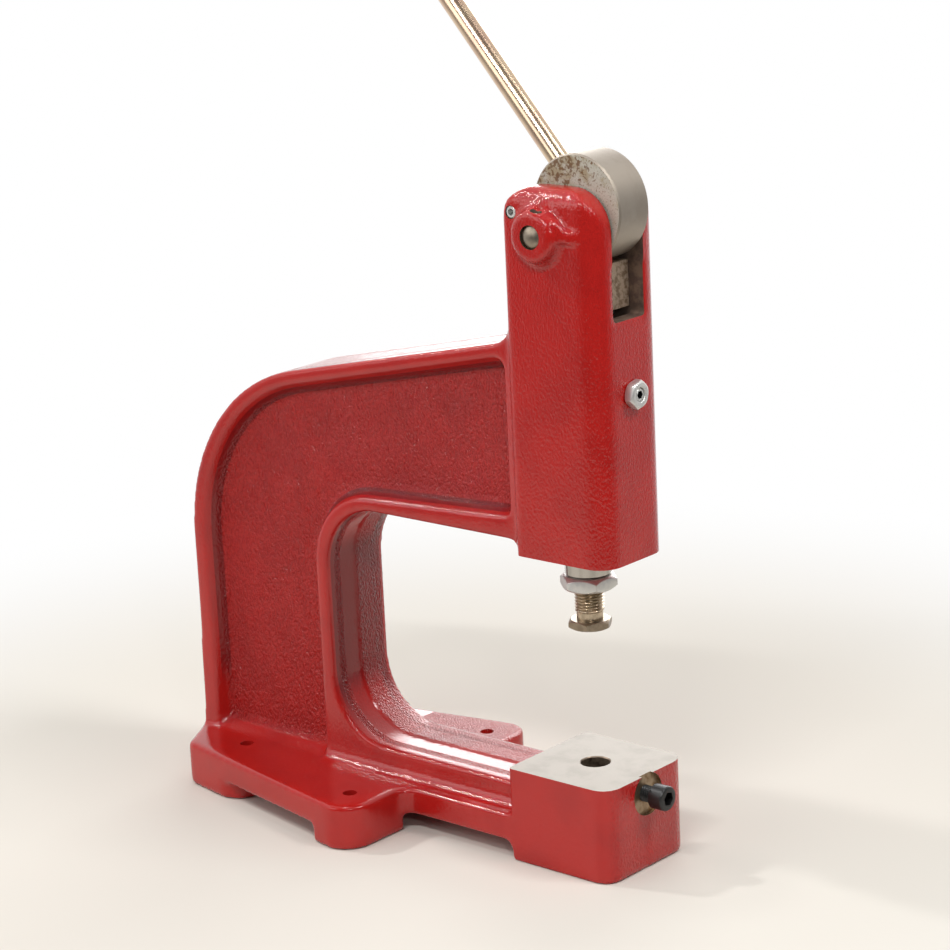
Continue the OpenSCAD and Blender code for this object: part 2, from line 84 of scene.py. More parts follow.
def linear(code: str) -> tuple[float, float, float, float]:
    """Turns an sRGB hex colour into a linear one.

    Args:
        code: The colour, such as "#A31F22".

    Returns:
        Linear red, green, blue and an alpha of 1.
    """
    channels = [int(code[i : i + 2], 16) / 255 for i in (1, 3, 5)]
    return tuple(c / 12.92 if c <= 0.04045 else ((c + 0.055) / 1.055) ** 2.4 for c in channels) + (1.0,)


def add_node(tree: Tree, kind: str, settings: dict[str, object] | None = None,
             inputs: dict[int | str, Input] | Sequence[Input] = (),
             output: int | str = 0) -> Socket | None:
    """Adds one node with its settings, input values and links.

    Args:
        tree: The material's or world's tree.
        kind: The node's type name without "ShaderNode".
        settings: Properties of the node.
        inputs: Values or sockets for its inputs, by name or number, or in their order.
        output: The output that is wanted, by name or number.

    Returns:
        That output's socket, or None for a node that has no outputs.
    """
    node = tree.nodes.new("ShaderNode" + kind)
    for name, value in (settings or {}).items():
        setattr(node, name, value)
    given = inputs if isinstance(inputs, dict) else dict(enumerate(inputs))
    for name, value in given.items():
        if isinstance(value, bpy.types.NodeSocket):
            tree.links.new(value, node.inputs[name])
        else:
            node.inputs[name].default_value = value
    return node.outputs[output] if node.outputs else None


def within(tree: Tree, value: Socket, low: float, high: float, soft: float) -> Socket:
    """Finds how far a value lies between two limits.

    Args:
        tree: The tree that gets the nodes.
        value: The value that is compared.
        low: The lower limit.
        high: The upper limit.
        soft: The width over which the result fades outside the limits.

    Returns:
        1 between the limits, falling to 0 outside them.
    """
    rising = add_node(tree, "MapRange", SMOOTHLY, (value, low - soft, low))
    falling = add_node(tree, "MapRange", SMOOTHLY, (value, high + soft, high))
    return add_node(tree, "Math", MULTIPLY, (rising, falling))


@dataclass(frozen=True)
class Finish:
    """A surface finish. Each kind adds its own pattern to the shader."""

    name: str
    colour: str
    metallic: float = 0.0
    roughness: float = 0.4

    def material(self) -> bpy.types.Material:
        """Makes the material the first time it is asked for.

        Returns:
            The finish's material.
        """
        known = bpy.data.materials.get(self.name)
        if known is not None:
            return known
        made = bpy.data.materials.new(self.name)
        made.use_nodes = True
        tree = made.node_tree
        tree.nodes.clear()
        where = add_node(tree, "TexCoord", output="Object")
        plain = {"Base Color": linear(self.colour), "Metallic": self.metallic, "Roughness": self.roughness}
        shader = add_node(tree, "BsdfPrincipled", None, plain | self.pattern(tree, where))
        add_node(tree, "OutputMaterial", None, {"Surface": shader})
        return made

    def pattern(self, tree: Tree, where: Socket) -> dict[str, Socket]:
        """Gives the shader's patterned inputs; the plain finish has none."""
        return {}


@dataclass(frozen=True)
class RedEnamel(Finish):
    """Thick gloss enamel sprayed on rough sand-cast iron.

    The paint levels the sand's grain into soft lumps a millimetre or two across, and each lump catches
    its own spark of light. The far half of the mould, the web between the flanges and the anvil's
    front were never dressed, so there the grain shows most. Real moulding sand is 0.2 to 0.3 mm, too
    fine to show, so the grain is drawn about four times as coarse.
    """

    # The dark red of the painted shade in the recesses, in the throat and between the lumps
    shade_red: str = "#6E0C0F"
    # How strongly the painted shade darkens the recess walls and the throat
    painted_shade_share: float = 0.8
    peel: float = 1.7 * MM
    peel_depth: float = 0.09 * MM
    grain: float = 0.95 * MM
    grain_depth: float = 2.0 * MM
    smoothest: float = 0.035

    def pattern(self, tree: Tree, where: Socket) -> dict[str, Socket]:
        """Adds the paint's uneven tone, painted shade in the recesses, in the throat and between the lumps,
        the lumps themselves and the casting's grain.

        Args:
            tree: The enamel's tree.
            where: The place on the piece.

        Returns:
            The shader's colour and normal.
        """
        clouds = add_node(tree, "TexNoise", None, {"Vector": where, "Scale": 1 / (30 * MM), "Detail": 3.0})
        share = add_node(tree, "MapRange", SMOOTHLY, (clouds, 0.4, 0.7, 0.0, 0.2))
        # Random darker clouds, and painted shade on the recess walls and in the throat
        tone_and_painted_shade = add_node(tree, "Math", MAXIMUM, (share, self.depth(tree, where)))
        film = add_node(tree, "Mix", COLOURS, {0: tone_and_painted_shade, 6: linear(self.colour), 7: linear(self.shade_red)}, 2)
        skin = {"Vector": where, "Scale": 1 / self.peel, "Detail": 1.0, "Roughness": 0.4}
        peel = add_node(tree, "TexNoise", None, skin)
        even = add_node(tree, "Bump", None, {"Height": peel, "Distance": self.peel_depth})
        # Sprayed paint runs down a little before it sets, so the lumps stand upright
        run = add_node(tree, "Mapping", None, {"Vector": where, "Scale": (1.0, 1.0, 0.55)})
        sand = {"Vector": run, "Scale": 1 / self.grain, "Detail": 1.6, "Roughness": 0.55}
        grain = add_node(tree, "TexNoise", None, sand)
        rough = self.coarseness(tree, where)
        lumps = {"Height": grain, "Distance": self.grain_depth, "Strength": rough, "Normal": even}
        # Painted shade between the lumps: the colour darkens in the grain's hollows, where the paint also
        # lies thicker
        between = add_node(tree, "MapRange", SMOOTHLY, (grain, 0.56, 0.42, 0.0, 0.3))
        painted_hollow_shade = add_node(tree, "Math", MULTIPLY, (between, rough))
        colour = add_node(tree, "Mix", COLOURS, {0: painted_hollow_shade, 6: film, 7: linear(self.shade_red)}, 2)
        return {"Base Color": colour, "Normal": add_node(tree, "Bump", None, lumps)}

    # Painted shade: a mask that darkens the enamel on the recess walls and in the throat
    def depth(self, tree: Tree, where: Socket) -> Socket:
        """Says where painted shade darkens the enamel: the recess walls and the throat.

        Args:
            tree: The enamel's tree.
            where: The place on the casting.

        Returns:
            The painted shade's share, from 0 to nearly 1.
        """
        x, y, z = add_node(tree, "SeparateXYZ", None, (where,)).node.outputs
        width = add_node(tree, "Math", ABSOLUTE, (x,))
        walls = (
            (self.painted_shade_share, within(tree, width, 13.2 * MM, 17.3 * MM, 0.5 * MM),
             within(tree, y, 33 * MM, 240 * MM, 3 * MM),
             add_node(tree, "MapRange", SMOOTHLY, (z, 40 * MM, 60 * MM))),
            (self.painted_shade_share, add_node(tree, "MapRange", SMOOTHLY, (width, 17.0 * MM, 16.0 * MM)),
             within(tree, y, 60 * MM, 156 * MM, 6 * MM), within(tree, z, 66 * MM, 128 * MM, 16 * MM)),
        )
        return self.strongest(tree, walls, 0.0)

    def coarseness(self, tree: Tree, where: Socket) -> Socket:
        """Says how rough the iron was left under the paint.

        Args:
            tree: The enamel's tree.
            where: The place on the casting.

        Returns:
            The grain's strength, from nearly 0 to 1.
        """
        x, y, z = add_node(tree, "SeparateXYZ", None, (where,)).node.outputs
        width = add_node(tree, "Math", ABSOLUTE, (x,))
        low = add_node(tree, "MapRange", SMOOTHLY, (z, 60 * MM, 50 * MM))
        ahead = add_node(tree, "MapRange", SMOOTHLY, (y, -27 * MM, -30.5 * MM))
        places = (
            # The web between the flanges
            (1.0, add_node(tree, "MapRange", SMOOTHLY, (width, 16.5 * MM, 13.2 * MM)),
             add_node(tree, "MapRange", SMOOTHLY, (width, 9.5 * MM, 11.5 * MM)),
             within(tree, y, 30 * MM, 236 * MM, 3 * MM)),
            # The flanges' own sides
            (0.13, within(tree, width, 16 * MM, 24 * MM, 1 * MM),
             add_node(tree, "MapRange", SMOOTHLY, (y, 27 * MM, 30 * MM))),
            # The far mould half round the throat
            (0.6, add_node(tree, "MapRange", SMOOTHLY, (x, -0.2 * MM, 1.0 * MM)),
             within(tree, y, 29 * MM, 156 * MM, 1 * MM), within(tree, z, 22 * MM, 160 * MM, 2 * MM)),
            # The anvil's front, the head, and the foot of the column
            (0.4, ahead, low),
            (0.2, add_node(tree, "MapRange", SMOOTHLY, (z, 140 * MM, 150 * MM)),
             add_node(tree, "MapRange", SMOOTHLY, (y, 30 * MM, 26 * MM))),
            (0.09, within(tree, z, 24 * MM, 44 * MM, 4 * MM), within(tree, y, 60 * MM, 242 * MM, 6 * MM)),
        )
        return self.strongest(tree, places, self.smoothest)

    def strongest(self, tree: Tree, places: Sequence[tuple], least: float) -> Socket:
        """Combines shares that each hold at a place of their own.

        Args:
            tree: The enamel's tree.
            places: For each place, its share and then the limits that fade it out.
            least: The share everywhere else.

        Returns:
            The greatest share at each point.
        """
        total: Input = least
        for share, *limits in places:
            part: Input = share
            for limit in limits:
                part = add_node(tree, "Math", MULTIPLY, (limit, part))
            total = add_node(tree, "Math", MAXIMUM, (part, total))
        return total


@dataclass(frozen=True)
class GroundSteel(Finish):
    """Turned and ground steel: fine streaks along one direction that widen its highlights.

    The wheel's real scratches are a few hundredths of a millimetre wide. They are drawn several times
    as wide, so that the streaks still show.
    """

    streak: tuple[float, float, float] = (1.0, 0.02, 0.02)
    streak_size: float = 0.024 * MM
    streak_depth: float = 0.02 * MM
    stain: str = "#8E857A"
    stain_share: float = 0.35

    def pattern(self, tree: Tree, where: Socket) -> dict[str, Socket]:
        """Adds the grinding streaks and a faint cloudy stain.

        Args:
            tree: The finish's tree.
            where: The place on the piece.

        Returns:
            The shader's colour and normal.
        """
        drawn = add_node(tree, "Mapping", None, {"Vector": where, "Scale": self.streak})
        scratches = {"Vector": drawn, "Scale": 1 / self.streak_size, "Detail": 3.0, "Roughness": 0.65}
        streaks = add_node(tree, "TexNoise", None, scratches)
        damp = {"Vector": where, "Scale": 1 / (11 * MM), "Detail": 4.0, "Roughness": 0.6}
        clouds = add_node(tree, "TexNoise", None, damp)
        share = add_node(tree, "MapRange", SMOOTHLY, (clouds, 0.42, 0.72, 0.0, self.stain_share))
        mixed = {0: share, 6: linear(self.colour), 7: linear(self.stain)}
        rows = {"Height": streaks, "Distance": self.streak_depth, "Strength": 0.6}
        return {
            "Base Color": add_node(tree, "Mix", COLOURS, mixed, 2),
            "Normal": add_node(tree, "Bump", None, rows),
        }


@dataclass(frozen=True)
class SpottedSteel(Finish):
    """Faced steel that stood in damp air: olive-brown clouds high at the rear, and rust specks all over."""

    cloud: str = "#94835F"
    rust: str = "#7C5730"
    dark: str = "#4E3522"
    grey: str = "#8F897C"
    centre: tuple[float, float] = (-9.34 * MM, 314.6 * MM)

    def pattern(self, tree: Tree, where: Socket) -> dict[str, Socket]:
        """Adds the rust clouds, blots and specks, and the fine pits between them.

        Args:
            tree: The finish's tree.
            where: The place on the drum.

        Returns:
            The shader's colour, metallic share, roughness and normal.
        """
        _, y, z = add_node(tree, "SeparateXYZ", None, (where,)).node.outputs
        high = add_node(tree, "MapRange", SMOOTHLY, (z, self.centre[1] - 2 * MM, self.centre[1] + 22 * MM))
        behind = (y, self.centre[0] - 16 * MM, self.centre[0] + 10 * MM, 0.35, 1.0)
        rear = add_node(tree, "MapRange", SMOOTHLY, behind)
        thick = add_node(tree, "Math", MULTIPLY, (high, rear))
        # Lumps of rust by their size, the damp's help, the range in which they fade in, and their most
        grades = ((6.0, 4.0, 0.22, 0.52, 0.78, 0.75), (2.6, 5.0, 0.16, 0.60, 0.69, 0.9),
                  (0.9, 3.0, 0.03, 0.60, 0.68, 0.8), (0.55, 2.0, 0.0, 0.52, 0.66, 0.6))
        layers = []
        for size, detail, damp, start, end, most in grades:
            lumps = {"Vector": where, "Scale": 1 / (size * MM), "Detail": detail, "Roughness": 0.6}
            amount = add_node(tree, "TexNoise", None, lumps)
            amount = add_node(tree, "Math", MULTIPLY_ADD, (thick, damp, amount))
            layers.append(add_node(tree, "MapRange", SMOOTHLY, (amount, start, end, 0.0, most)))
        clouds, blots, specks, pits = layers
        face = add_node(tree, "Mix", COLOURS, {0: pits, 6: linear(self.colour), 7: linear(self.grey)}, 2)
        face = add_node(tree, "Mix", COLOURS, {0: clouds, 6: face, 7: linear(self.cloud)}, 2)
        rusty = add_node(tree, "Math", MAXIMUM, (blots, specks))
        mottle = add_node(tree, "TexNoise", None, {"Vector": where, "Scale": 1 / (0.8 * MM)})
        tone = add_node(tree, "Mix", COLOURS, {0: mottle, 6: linear(self.rust), 7: linear(self.dark)}, 2)
        dull = add_node(tree, "Math", MAXIMUM, (rusty, clouds))
        bumps = add_node(tree, "TexNoise", None, {"Vector": where, "Scale": 1 / (0.7 * MM), "Detail": 3.0})
        return {
            "Base Color": add_node(tree, "Mix", COLOURS, {0: rusty, 6: face, 7: tone}, 2),
            "Metallic": add_node(tree, "Math", MULTIPLY_ADD, (dull, -self.metallic * 0.9, self.metallic)),
            "Roughness": add_node(tree, "Math", MULTIPLY_ADD, (dull, 0.3, self.roughness)),
            "Normal": add_node(tree, "Bump", None, {"Height": bumps, "Distance": 0.08 * MM, "Strength": 0.8}),
        }


@dataclass(frozen=True)
class RamSteel(Finish):
    """One turned bar: its ground lower end shines like chrome, with painted dark reflection bands, and its
    crosshead is brown, rough and oily.
    """

    milled: str = "#C2AC96"
    oily: str = "#8A745F"
    # The grey of the painted dark reflection bands on the ground end
    grey: str = "#5F5A57"
    border: float = 200 * MM

    def pattern(self, tree: Tree, where: Socket) -> dict[str, Socket]:
        """Adds the crosshead's brown skin above the border and its milled grain, and the painted dark
        reflection bands below it.

        Args:
            tree: The finish's tree.
            where: The place on the ram.

        Returns:
            The shader's colour, roughness, metallic share and normal.
        """
        height = add_node(tree, "SeparateXYZ", None, (where,), "Z")
        above = add_node(tree, "MapRange", SMOOTHLY, (height, self.border, self.border + 5 * MM))
        oil = {"Vector": where, "Scale": 1 / (2.2 * MM), "Detail": 4.0, "Roughness": 0.6}
        film = add_node(tree, "TexNoise", None, oil)
        blots = add_node(tree, "MapRange", SMOOTHLY, (film, 0.4, 0.62))
        brown = add_node(tree, "Mix", COLOURS, {0: blots, 6: linear(self.milled), 7: linear(self.oily)}, 2)
        grain = add_node(tree, "TexNoise", None, {"Vector": where, "Scale": 1 / (0.8 * MM), "Detail": 3.0})
        # The stone leaves upright waves, which break the shaft's reflection into soft bright and dark bands;
        # the same waves also paint dark reflection bands into the colour
        around = add_node(tree, "Mapping", None, {"Vector": where, "Scale": (1.0, 1.0, 0.0)})
        wave = add_node(tree, "TexNoise", None, {"Vector": around, "Scale": 1 / (6 * MM), "Detail": 1.0})
        waves = add_node(tree, "Bump", None, {"Height": wave, "Distance": 0.5 * MM})
        # Painted reflection: the waves darken the ground end's colour in upright bands
        painted_reflection_band = add_node(tree, "MapRange", SMOOTHLY, (wave, 0.4, 0.62, 0.0, 0.3))
        chrome = add_node(tree, "Mix", COLOURS, {0: painted_reflection_band, 6: linear(self.colour), 7: linear(self.grey)}, 2)
        rows = {"Height": grain, "Distance": 0.25 * MM, "Strength": above, "Normal": waves}
        return {
            "Base Color": add_node(tree, "Mix", COLOURS, {0: above, 6: chrome, 7: brown}, 2),
            "Roughness": add_node(tree, "Math", MULTIPLY_ADD, (above, 0.32, self.roughness)),
            "Metallic": add_node(tree, "Math", MULTIPLY_ADD, (above, -0.35, 1.0)),
            "Normal": add_node(tree, "Bump", None, rows),
        }


@dataclass(frozen=True)
class PatchySkin(Finish):
    """A thin skin, such as zinc, oil or oxide, whose tint drifts, over a fine uneven surface."""

    tint: str = "#BDBFBF"
    drift: float = 5 * MM
    drift_share: float = 0.5
    bumps: float = 0.6 * MM
    bump_depth: float = 0.01 * MM

    def pattern(self, tree: Tree, where: Socket) -> dict[str, Socket]:
        """Adds the drifting tint and the unevenness.

        Args:
            tree: The finish's tree.
            where: The place on the piece.

        Returns:
            The shader's colour and normal.
        """
        skin = {"Vector": where, "Scale": 1 / self.drift, "Detail": 4.0, "Roughness": 0.6}
        film = add_node(tree, "TexNoise", None, skin)
        share = add_node(tree, "MapRange", SMOOTHLY, (film, 0.4, 0.66, 0.0, self.drift_share))
        uneven = add_node(tree, "TexNoise", None, {"Vector": where, "Scale": 1 / self.bumps, "Detail": 3.0})
        mixed = {0: share, 6: linear(self.colour), 7: linear(self.tint)}
        return {
            "Base Color": add_node(tree, "Mix", COLOURS, mixed, 2),
            "Normal": add_node(tree, "Bump", None, {"Height": uneven, "Distance": self.bump_depth}),
        }


# Stoved gloss enamel on cast iron: deep signal red with sharp white sparks on every rounding
ENAMEL = RedEnamel("red_gloss_enamel", "#AE1D19", roughness=0.06)
# Cast iron ground across the anvil: pale, even and matt, brightest away from the window
ANVIL_FACE = GroundSteel("ground_anvil_face", "#857F77", 1.0, 0.5, streak=(0.05, 1.0, 1.0), stain="#746E66",
                         stain_share=0.6)
# Turned and ground rim: a satin band of light round the drum, darker where the lever's user holds it
DRUM_RIM = GroundSteel("ground_drum_rim", "#A59B8F", 1.0, 0.5, streak=(1.0, 0.06, 0.06), stain="#958A7E",
                       stain_share=0.5)
# Faced steel gone patchy: a pale grey disc with rust clouds and specks
DRUM_FACE = SpottedSteel("spotted_drum_face", "#BCB8AB", 0.4, 0.5)
# Ground bar steel below and milled steel above: a small chrome ring, and a brown block in the window
RAM_STEEL = RamSteel("ground_and_milled_ram", "#B9B4AC", 1.0, 0.16)
# Turned pin steel, handled and oily: a soft brown-grey dome
PIN_STEEL = PatchySkin("dull_pin_steel", "#988C7D", 1.0, 0.35, tint="#6E6252", drift=4 * MM, drift_share=0.6)
# Clear zinc plate: bright, cool and slightly frosted
WHITE_ZINC = PatchySkin("clear_zinc_plate", "#DAD9D5", 0.9, 0.5)
# Yellow zinc plate: smooth as glass on the lever, drifting from cream to rose
YELLOW_ZINC = PatchySkin("yellow_zinc_plate", "#DCC3A6", 1.0, 0.2, tint="#C9A392", drift=14 * MM,
                         drift_share=0.6, bump_depth=0.001 * MM)
# The same plate rubbed on the thread: bright crests over brown roots
DIE_SCREW_ZINC = PatchySkin("worn_yellow_zinc", "#C2B19A", 1.0, 0.28, tint="#9A8B77", drift=3 * MM,
                            drift_share=0.6)
# The same plate, darker and browner on the screw's head
DIE_HEAD_ZINC = PatchySkin("darker_yellow_zinc", "#968876", 1.0, 0.34, tint="#7A6C5C", drift=3 * MM,
                           drift_share=0.6)
# Black oxide on the cap screw: near black, with a thin oily sheen and rubbed spots
SCREW_BLACK = PatchySkin("black_oxide", "#4A4846", 0.9, 0.3, tint="#8A8782", drift=1.6 * MM, drift_share=0.3)
# Hard-drawn wire: grey, with long soft glints
SPRING_WIRE = PatchySkin("spring_wire", "#8E8A84", 1.0, 0.35, tint="#6C665E", drift=3 * MM)
# Compression-moulded phenolic: deep black gloss with the faintest waviness
KNOB_PLASTIC = PatchySkin("black_phenolic", "#131212", 0.0, 0.16, tint="#1C1A1A", bumps=5 * MM,
                          bump_depth=0.008 * MM)
# Bored iron: a bright brownish ring just inside each hole
BORE_IRON = PatchySkin("bored_iron", "#8A7B6B", 0.85, 0.42, tint="#4A3A2E", drift_share=1.0, bumps=0.9 * MM,
                       bump_depth=0.03 * MM)
# Milled slot walls, oily and never painted: dark brown, with the cutter's marks
SLOT_IRON = PatchySkin("oily_milled_iron", "#8C7668", 0.6, 0.5, tint="#6A5850", drift_share=1.0,
                       bumps=0.9 * MM, bump_depth=0.03 * MM)
# The spotface under the cap screw: a warm bright crescent, stained at its edge
SPOTFACE_IRON = PatchySkin("spotfaced_iron", "#A08C74", 0.9, 0.4, tint="#7D6449", drift=3 * MM,
                           drift_share=1.0, bumps=0.9 * MM, bump_depth=0.03 * MM)


# ---- Shapes ----


def new_object(name: str, mesh: Shape, materials: Sequence[Finish]) -> Piece:
    """Turns a bmesh into an object at the origin.

    Args:
        name: The piece's name.
        mesh: The shape, in metres and in place; it is freed.
        materials: Finishes for its material numbers.

    Returns:
        The object, linked into the scene.
    """
    data = bpy.data.meshes.new(name)
    mesh.to_mesh(data)
    mesh.free()
    piece = bpy.data.objects.new(name, data)
    bpy.context.scene.collection.objects.link(piece)
    for finish in materials:
        data.materials.append(finish.material())
    return piece


def settle(piece: Piece) -> None:
    """Applies a piece's modifiers to its mesh.

    Args:
        piece: The piece, which keeps its name and its vertex groups' weights.
    """
    graph = bpy.context.evaluated_depsgraph_get()
    result = piece.evaluated_get(graph)
    data = bpy.data.meshes.new_from_object(result, preserve_all_data_layers=True, depsgraph=graph)
    old = piece.data
    piece.modifiers.clear()
    piece.data = data
    data.name = piece.name
    bpy.data.meshes.remove(old)


def modify(piece: Piece, kind: str, **settings: object) -> None:
    """Adds one modifier and applies it at once.

    Args:
        piece: The piece.
        kind: The modifier's type.
        **settings: The modifier's properties.
    """
    modifier = piece.modifiers.new(kind.lower(), kind)
    for name, value in settings.items():
        setattr(modifier, name, value)
    settle(piece)


def discard(piece: Piece) -> None:
    """Removes a helper shape.

    Args:
        piece: The shape, which is gone with its mesh.
    """
    data = piece.data
    bpy.data.objects.remove(piece)
    bpy.data.meshes.remove(data)


def combine(piece: Piece, other: Piece, operation: str, solver: str = "EXACT") -> None:
    """Joins, cuts or intersects a piece with another one, which is used up."""
    modify(piece, "BOOLEAN", object=other, operation=operation, solver=solver, material_mode="TRANSFER")
    discard(other)


def shade(piece: Piece, sharpest: float) -> None:
    """Shades a piece smooth, apart from its sharp edges.

    Args:
        piece: The piece.
        sharpest: The angle above which an edge stays crisp, in degrees.
    """
    def mark(mesh: Shape) -> None:
        """Marks every face smooth and the sharp edges crisp.

        Args:
            mesh: The piece's mesh.
        """
        for face in mesh.faces:
            face.smooth = True
        for edge in mesh.edges:
            edge.smooth = True
        for edge in sharp_edges(mesh, sharpest):
            edge.smooth = False

    reshape(piece, mark)


def sharp_edges(mesh: Shape, angle: float) -> list[bmesh.types.BMEdge]:
    """Lists the edges between two faces that meet at more than an angle in degrees."""
    limit = math.radians(angle)
    return [edge for edge in mesh.edges if len(edge.link_faces) == 2 and edge.calc_face_angle(0.0) > limit]


def round_edges(mesh: Shape, edges: Sequence[bmesh.types.BMEdge], radius: float, segments: int,
                clamp: bool = False) -> None:
    """Rounds some edges of a mesh.

    Args:
        mesh: The mesh.
        edges: The edges that are rounded.
        radius: The rounding's size in mm.
        segments: Its steps.
        clamp: Whether it stops where two roundings would meet.
    """
    bmesh.ops.bevel(mesh, geom=list(edges), offset=radius * MM, offset_type="OFFSET", segments=segments,
                    profile=0.5, affect="EDGES", clamp_overlap=clamp, material=-1)


def turned(profile: Iterable[Point], segments: int = 64) -> Shape:
    """Spins a profile round Z.

    Args:
        profile: (radius, height) corners in mm, from the axis to the axis.
        segments: Steps of the full turn.

    Returns:
        A closed solid in metres.
    """
    mesh = bmesh.new()
    corners = [mesh.verts.new((radius * MM, 0, height * MM)) for radius, height in profile]
    edges = [mesh.edges.new(pair) for pair in zip(corners, corners[1:])]
    bmesh.ops.spin(mesh, geom=corners + edges, cent=(0, 0, 0), axis=(0, 0, 1), angle=math.tau, steps=segments,
                   use_merge=True)
    bmesh.ops.remove_doubles(mesh, verts=mesh.verts, dist=1e-7)
    bmesh.ops.recalc_face_normals(mesh, faces=mesh.faces)
    return mesh


def prism(outline: Sequence[Point], low: float, high: float) -> Shape:
    """Raises a flat outline from one height to another.

    Args:
        outline: Its (x, y) corners in mm.
        low: The lower height in mm.
        high: The upper height.

    Returns:
        A closed solid in metres.
    """
    mesh = bmesh.new()
    corners = [mesh.verts.new((x * MM, y * MM, low * MM)) for x, y in outline]
    face = mesh.faces.new(corners)
    moved = bmesh.ops.extrude_face_region(mesh, geom=[face])["geom"]
    rise = [part for part in moved if isinstance(part, bmesh.types.BMVert)]
    bmesh.ops.translate(mesh, verts=rise, vec=(0, 0, (high - low) * MM))
    bmesh.ops.recalc_face_normals(mesh, faces=mesh.faces)
    return mesh


def place(mesh: Shape, centre: Sequence[float], axis: Axis = Axis.UP, turn: float = 0.0) -> Shape:
    """Points a shape along an axis and moves it.

    Args:
        mesh: A shape made round Z.
        centre: Its new origin, in mm.
        axis: The direction its Z takes.
        turn: Degrees it is first turned round its own Z.

    Returns:
        The same mesh.
    """
    turned_first = Matrix.Rotation(math.radians(turn), 4, "Z")
    matrix = Matrix.Translation(Vector(centre) * MM) @ axis.matrix() @ turned_first
    bmesh.ops.transform(mesh, matrix=matrix, verts=mesh.verts)
    return mesh


def hexagon(across: float) -> list[Point]:
    """Finds the corners of a hexagon.

    Args:
        across: Its width across the flats.

    Returns:
        Its six corners, in the same unit.
    """
    radius = across / 2 / math.cos(math.radians(30))
    angles = [math.radians(60 * i) for i in range(6)]
    return [(radius * math.cos(angle), radius * math.sin(angle)) for angle in angles]


def rod(diameter: float, length: float, segments: int = 64) -> Shape:
    """A plain bar along Z, used to bore holes."""
    return turned([(0, 0), (diameter / 2, 0), (diameter / 2, length), (0, length)], segments)


def block(low: Sequence[float], high: Sequence[float]) -> Shape:
    """Makes a plain block.

    Args:
        low: Its lowest corner in mm.
        high: Its highest corner.

    Returns:
        The block in metres.
    """
    mesh = bmesh.new()
    bmesh.ops.create_cube(mesh, size=1.0)
    size = Vector(high) - Vector(low)
    middle = (Vector(high) + Vector(low)) / 2
    bmesh.ops.scale(mesh, vec=size * MM, verts=mesh.verts)
    bmesh.ops.translate(mesh, vec=middle * MM, verts=mesh.verts)
    return mesh


def gather(target: Shape, parts: Iterable[Shape], material: int = 0) -> None:
    """Adds shapes to a mesh as further shells.

    Args:
        target: The mesh that takes them.
        parts: The shapes, which are freed.
        material: The material number that their faces get.
    """
    for part in parts:
        for face in part.faces:
            face.material_index = material
        data = bpy.data.meshes.new("part")
        part.to_mesh(data)
        part.free()
        target.from_mesh(data)
        bpy.data.meshes.remove(data)


def cut_thread(mesh: Shape, major: float, pitch: float, low: float, high: float) -> None:
    """Cuts a vee thread into a bar that stands on Z, with its ends fading out.

    Args:
        mesh: A bar whose side is finely divided along Z.
        major: The thread's outer diameter in mm.
        pitch: From crest to crest in mm.
        low: Where the thread starts, in mm.
        high: Where it ends.
    """
    depth = 0.6 * pitch
    for vert in mesh.verts:
        radius = vert.co.xy.length / MM
        height = vert.co.z / MM
        if radius < major / 2 - 0.02 or not low < height < high:
            continue
        phase = (height / pitch - math.atan2(vert.co.y, vert.co.x) / math.tau) % 1.0
        vee = min(1.0, max(0.0, abs(phase - 0.5) * 2.3 - 0.12))
        run_out = min(1.0, (height - low) / pitch, (high - height) / pitch)
        vert.co.xy *= (radius - depth * vee * run_out) / radius


def threaded_bar(profile: Sequence[Point], major: float, pitch: float, low: float, high: float,
                 segments: int = 56) -> Shape:
    """Spins a bar and cuts a thread between two of its heights.

    Args:
        profile: (radius, height) corners in mm, from the axis to the axis.
        major: The thread's outer diameter in mm.
        pitch: From crest to crest in mm.
        low: Where the thread starts.
        high: Where it ends.
        segments: Steps of the full turn.

    Returns:
        A closed solid in metres.
    """
    fine: list[Point] = []
    for (r0, z0), (r1, z1) in zip(profile, profile[1:]):
        fine.append((r0, z0))
        if abs(r1 - r0) < 1e-6 and abs(r0 - major / 2) < 1e-6:
            steps = max(1, round(abs(z1 - z0) / (pitch / 8)))
            fine += [(r0, z0 + (z1 - z0) * i / steps) for i in range(1, steps)]
    fine.append(profile[-1])
    mesh = turned(fine, segments)
    cut_thread(mesh, major, pitch, low, high)
    return mesh


def hex_head(name: str, across: float, low: float, high: float, finish: Finish, face: float = 0.955,
             slope: float = 30.0) -> Piece:
    """A hexagon whose corners are turned off at both ends.

    Args:
        name: The piece's name.
        across: Its width across the flats, in mm.
        low: Its lower end, in mm.
        high: Its upper end.
        finish: Its finish.
        face: How wide the flat ends stay, as a share of the width.
        slope: How steeply the corners are turned off, in degrees.

    Returns:
        A piece that stands on Z.
    """
    blank = new_object(name, prism(hexagon(across), low, high), [finish])
    outer = across / 2 / math.cos(math.radians(30)) + 0.2
    flat = across / 2 * face
    drop = (outer - flat) * math.tan(math.radians(slope))
    profile = [(0, low), (flat, low), (outer, low + drop), (outer, high - drop), (flat, high), (0, high)]
    combine(blank, new_object("hex_cone", turned(profile, 96), [finish]), "INTERSECT")
    return blank


def reshape(piece: Piece, change: Callable[[Shape], None]) -> None:
    """Lets a function change a piece's mesh.

    Args:
        piece: The piece.
        change: The function, which is given the mesh.
    """
    mesh = bmesh.new()
    mesh.from_mesh(piece.data)
    change(mesh)
    mesh.to_mesh(piece.data)
    mesh.free()


def present(piece: Piece, node: str, body: str, sharpest: float = 28.0) -> None:
    """Finishes a piece that stands for a node.

    Args:
        piece: The new piece.
        node: The node it replaces.
        body: The body it rides on.
        sharpest: The angle above which an edge stays crisp, in degrees.
    """
    shade(piece, sharpest)
    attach(piece, body)
    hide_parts(node)
    log.info("%s: %d faces", piece.name, len(piece.data.polygons))


def bore(piece: Piece, tool: Shape, finish: Finish | None = None) -> None:
    """Cuts a tool's shape out of a piece, leaving the cut in the given finish."""
    cutter = new_object("cutter", tool, [finish] if finish else [])
    combine(piece, cutter, "DIFFERENCE")


